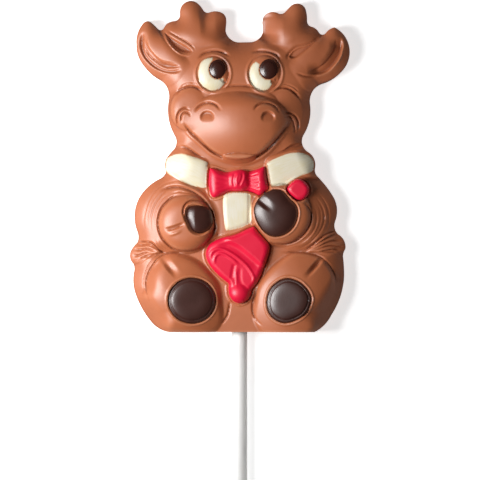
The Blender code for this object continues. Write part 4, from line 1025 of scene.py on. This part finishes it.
hollow_and_rib_shading.foreach_set("value", np.where(places_of(face)[1] < bevel + 0.1, 0, hollow).astype(np.float32))

stick_radius, stick_level = 2.25, 3.2
socket_gap, socket_deep, socket_past = 0.05, 54, 0.5
bpy.ops.mesh.primitive_cylinder_add(
    vertices=48, radius=(stick_radius + socket_gap) * MM, depth=socket_deep * MM,
    rotation=(math.pi / 2, 0, 0), location=(0, stick_high.y - socket_deep / 2 * MM + socket_past * MM,
                                            stick_level * MM))
socket = bpy.context.object
bpy.ops.object.transform_apply(location=True, rotation=True, scale=True)
bpy.ops.object.select_all(action='DESELECT')
face.select_set(True)
bpy.context.view_layer.objects.active = face
cut = face.modifiers.new("socket", 'BOOLEAN')
cut.operation = 'DIFFERENCE'
cut.object = socket
cut.solver = 'EXACT'
bpy.ops.object.modifier_apply(modifier=cut.name)
bpy.data.objects.remove(socket)

# Milk chocolate cooled against smooth plastic: warm brown, satin, in clouds of 9 mm where it set slowly, over
# faint ripples of 1.7 mm. Painted shade darkens its hollows and a painted highlight makes its ribs paler.
# Sugar is finer than the render shows, so its grain is drawn at 0.3 mm.
milk_chocolate, coordinates, brown, grain = moulded_chocolate(
    "moulded_milk_chocolate", colours=("#A65A35", "#B66841"), clouds=(110.0, 4.0, 0.55), sheen=(0.44, 0.52),
    solids=3600.0, grain=(0.25, 0.00005), ior=1.6, coat=(0.3, 0.3))
tree = milk_chocolate.node_tree
hollow_and_rib_shading = add_node(tree, 'ShaderNodeAttribute', {"attribute_name": "hollow"}, {})
# Painted shade: the deeper a hollow, the more of a dark brown is mixed into the colour.
hollow_shade_share = add_node(tree, 'ShaderNodeMapRange', {
    "From Min": 0.1, "From Max": 1.0, "To Min": 0.0, "To Max": 0.55}, {"Value": hollow_and_rib_shading.outputs["Fac"]})
painted_hollow_shade = add_node(tree, 'ShaderNodeMix', {"data_type": 'RGBA', "B_Color": linear("#6E3820")},
                  {"Factor_Float": hollow_shade_share.outputs[0], "A_Color": brown.outputs[2]})
# Painted highlight: the higher a rib, the more of a pale brown is mixed into the colour.
rib_highlight_share = add_node(tree, 'ShaderNodeMapRange', {
    "From Min": -0.9, "From Max": -0.15, "To Min": 0.35, "To Max": 0.0}, {"Value": hollow_and_rib_shading.outputs["Fac"]})
painted_rib_highlight = add_node(tree, 'ShaderNodeMix', {"data_type": 'RGBA', "B_Color": linear("#C68460")},
                 {"Factor_Float": rib_highlight_share.outputs[0], "A_Color": painted_hollow_shade.outputs[2]})
ripple = add_node(tree, 'ShaderNodeTexNoise', {"Scale": 600.0, "Detail": 2.0},
                  {"Vector": coordinates.outputs[3]})
wavy = add_node(tree, 'ShaderNodeBump', {"Strength": 0.3, "Distance": 0.0001}, {"Height": ripple.outputs[0]})
tree.links.new(painted_rib_highlight.outputs[2], tree.nodes["Principled BSDF"].inputs["Base Color"])
tree.links.new(wavy.outputs[0], grain.inputs["Normal"])
finish_piece(face, milk_chocolate, "reindeer")

# Stick: white paper rolled up tightly along its length and cut square, with a fine round at its edges. One
# straight seam shows an eighth of a turn round, where the last layer of paper ends.
stick_long, edge_round, turn_wide, core_radius, seam = 150.0, 0.12, 0.35, 1.9, 0.08
bpy.ops.object.select_all(action='DESELECT')
bpy.ops.mesh.primitive_cylinder_add(
    vertices=72, radius=stick_radius * MM, depth=stick_long * MM, rotation=(math.pi / 2, 0, 0),
    location=(middle_x * MM, stick_low.y + stick_long / 2 * MM, stick_level * MM))
stick = bpy.context.object
stick.name = "rolled_paper_stick"
bpy.ops.object.transform_apply(location=True, rotation=True, scale=True)
facing = np.zeros(len(stick.data.polygons) * 3, np.float32)
stick.data.polygons.foreach_get("normal", facing)
choose(stick, faces=np.abs(facing[1::3]) > 0.9)
bpy.ops.mesh.bevel(offset=edge_round * MM, segments=2)
for _ in range(4):
    bpy.ops.mesh.inset(thickness=turn_wide * MM, use_even_offset=True)
bpy.ops.object.mode_set(mode='OBJECT')
corners = np.zeros(len(stick.data.vertices) * 3, np.float32)
stick.data.vertices.foreach_get("co", corners)
corners = corners.reshape(-1, 3)
out = (corners[:, 0] - middle_x * MM) + 1j * (corners[:, 2] - stick_level * MM)
turn = (np.angle(out * np.exp(-0.25j * math.pi)) % (2 * math.pi)) / (2 * math.pi)
away = np.abs(out)
shrunk = away - seam * MM * turn * (away > core_radius * MM)
out = out / np.maximum(away, 1e-9) * shrunk
corners[:, 0] = out.real + middle_x * MM
corners[:, 2] = out.imag + stick_level * MM
stick.data.vertices.foreach_set("co", corners.ravel())
stick.data.update()

stick_paper = bpy.data.materials.new("rolled_white_paper")
stick_paper.use_nodes = True
tree = stick_paper.node_tree
shader = tree.nodes["Principled BSDF"]
# Bleached paper under a thin film of wax: cool white, soft sheen, and light that sinks in a few
# millimetres. Its fibres are finer than the render shows, so they are drawn 0.4 mm wide and eight times as
# long.
coordinates = add_node(tree, 'ShaderNodeTexCoord', {}, {})
along = add_node(tree, 'ShaderNodeMapping', {"Scale": (1.0, 0.12, 1.0)}, {"Vector": coordinates.outputs[3]})
fibres = add_node(tree, 'ShaderNodeTexNoise', {"Scale": 2400.0, "Detail": 3.0}, {"Vector": along.outputs[0]})
white = add_node(tree, 'ShaderNodeMix', {
    "data_type": 'RGBA', "A_Color": linear("#E0DFDD"), "B_Color": linear("#EAEAE8")},
    {"Factor_Float": fibres.outputs[0]})
grain = add_node(tree, 'ShaderNodeBump', {"Strength": 0.3, "Distance": 0.00005},
                 {"Height": fibres.outputs[0]})
shader.inputs["Roughness"].default_value = 0.5
shader.inputs["Subsurface Weight"].default_value = 0.8
shader.inputs["Subsurface Radius"].default_value = (1.0, 1.0, 1.0)
shader.inputs["Subsurface Scale"].default_value = 0.004
tree.links.new(white.outputs[2], shader.inputs["Base Color"])
tree.links.new(grain.outputs[0], shader.inputs["Normal"])
finish_piece(stick, stick_paper, "stick")

# Floor, a sheet of plain white paper that glows a little, a hair under the back so that the two don't lie in
# one plane. The photograph shows dark reflections on the steep sides, so the floor stays out of reflections.
floor_wide, floor_gap = 3, 0.01
bpy.ops.mesh.primitive_plane_add(size=floor_wide, location=(0, 0, -floor_gap * MM))
floor_paper = bpy.context.object
floor_paper.name = "studio_floor"
floor_paper.visible_glossy = False
white_floor = bpy.data.materials.new("white_studio_paper")
white_floor.use_nodes = True
shader = white_floor.node_tree.nodes["Principled BSDF"]
shader.inputs["Base Color"].default_value = linear("#F4F4F4")
shader.inputs["Roughness"].default_value = 0.9
shader.inputs["Emission Color"].default_value = (1, 1, 1, 1)
shader.inputs["Emission Strength"].default_value = 0.7
floor_paper.data.materials.append(white_floor)

# Light: one soft box close by on the left, level with the paws, and a weak fill from all round.
world = bpy.data.worlds.new("studio")
bpy.context.scene.world = world
world.use_nodes = True
fill = world.node_tree.nodes["Background"]
fill.inputs["Color"].default_value = (1, 1, 1, 1)
fill.inputs["Strength"].default_value = 0.035
bpy.ops.object.light_add(type='AREA', location=(-0.13, 0.033, 0.14))
soft_box = bpy.context.object
soft_box.name = "soft_box"
soft_box.data.shape = 'RECTANGLE'
soft_box.data.size, soft_box.data.size_y = 0.1, 0.13
soft_box.data.energy = 0.62
aim = Vector((0.0, 0.035, 0.005)) - soft_box.location
soft_box.rotation_euler = aim.to_track_quat('-Z', 'Y').to_euler()

# Camera straight over the lollipop, as it was photographed, from 1.5 m above the middle of its relief. The
# photograph is 134.4 mm wide at that height.
photo_width, distance, relief_middle, film_wide = 134.4, 1500.0, 7.0, 36.0
camera_data = bpy.data.cameras.new("camera")
camera = bpy.data.objects.new("camera", camera_data)
bpy.context.scene.collection.objects.link(camera)
camera.location = (0.04 * MM, 29.36 * MM, (relief_middle + distance) * MM)
camera_data.sensor_width = film_wide
camera_data.lens = film_wide * distance / photo_width
camera_data.clip_start = 0.01
bpy.context.scene.camera = camera
bpy.context.scene.view_settings.view_transform = 'Standard'
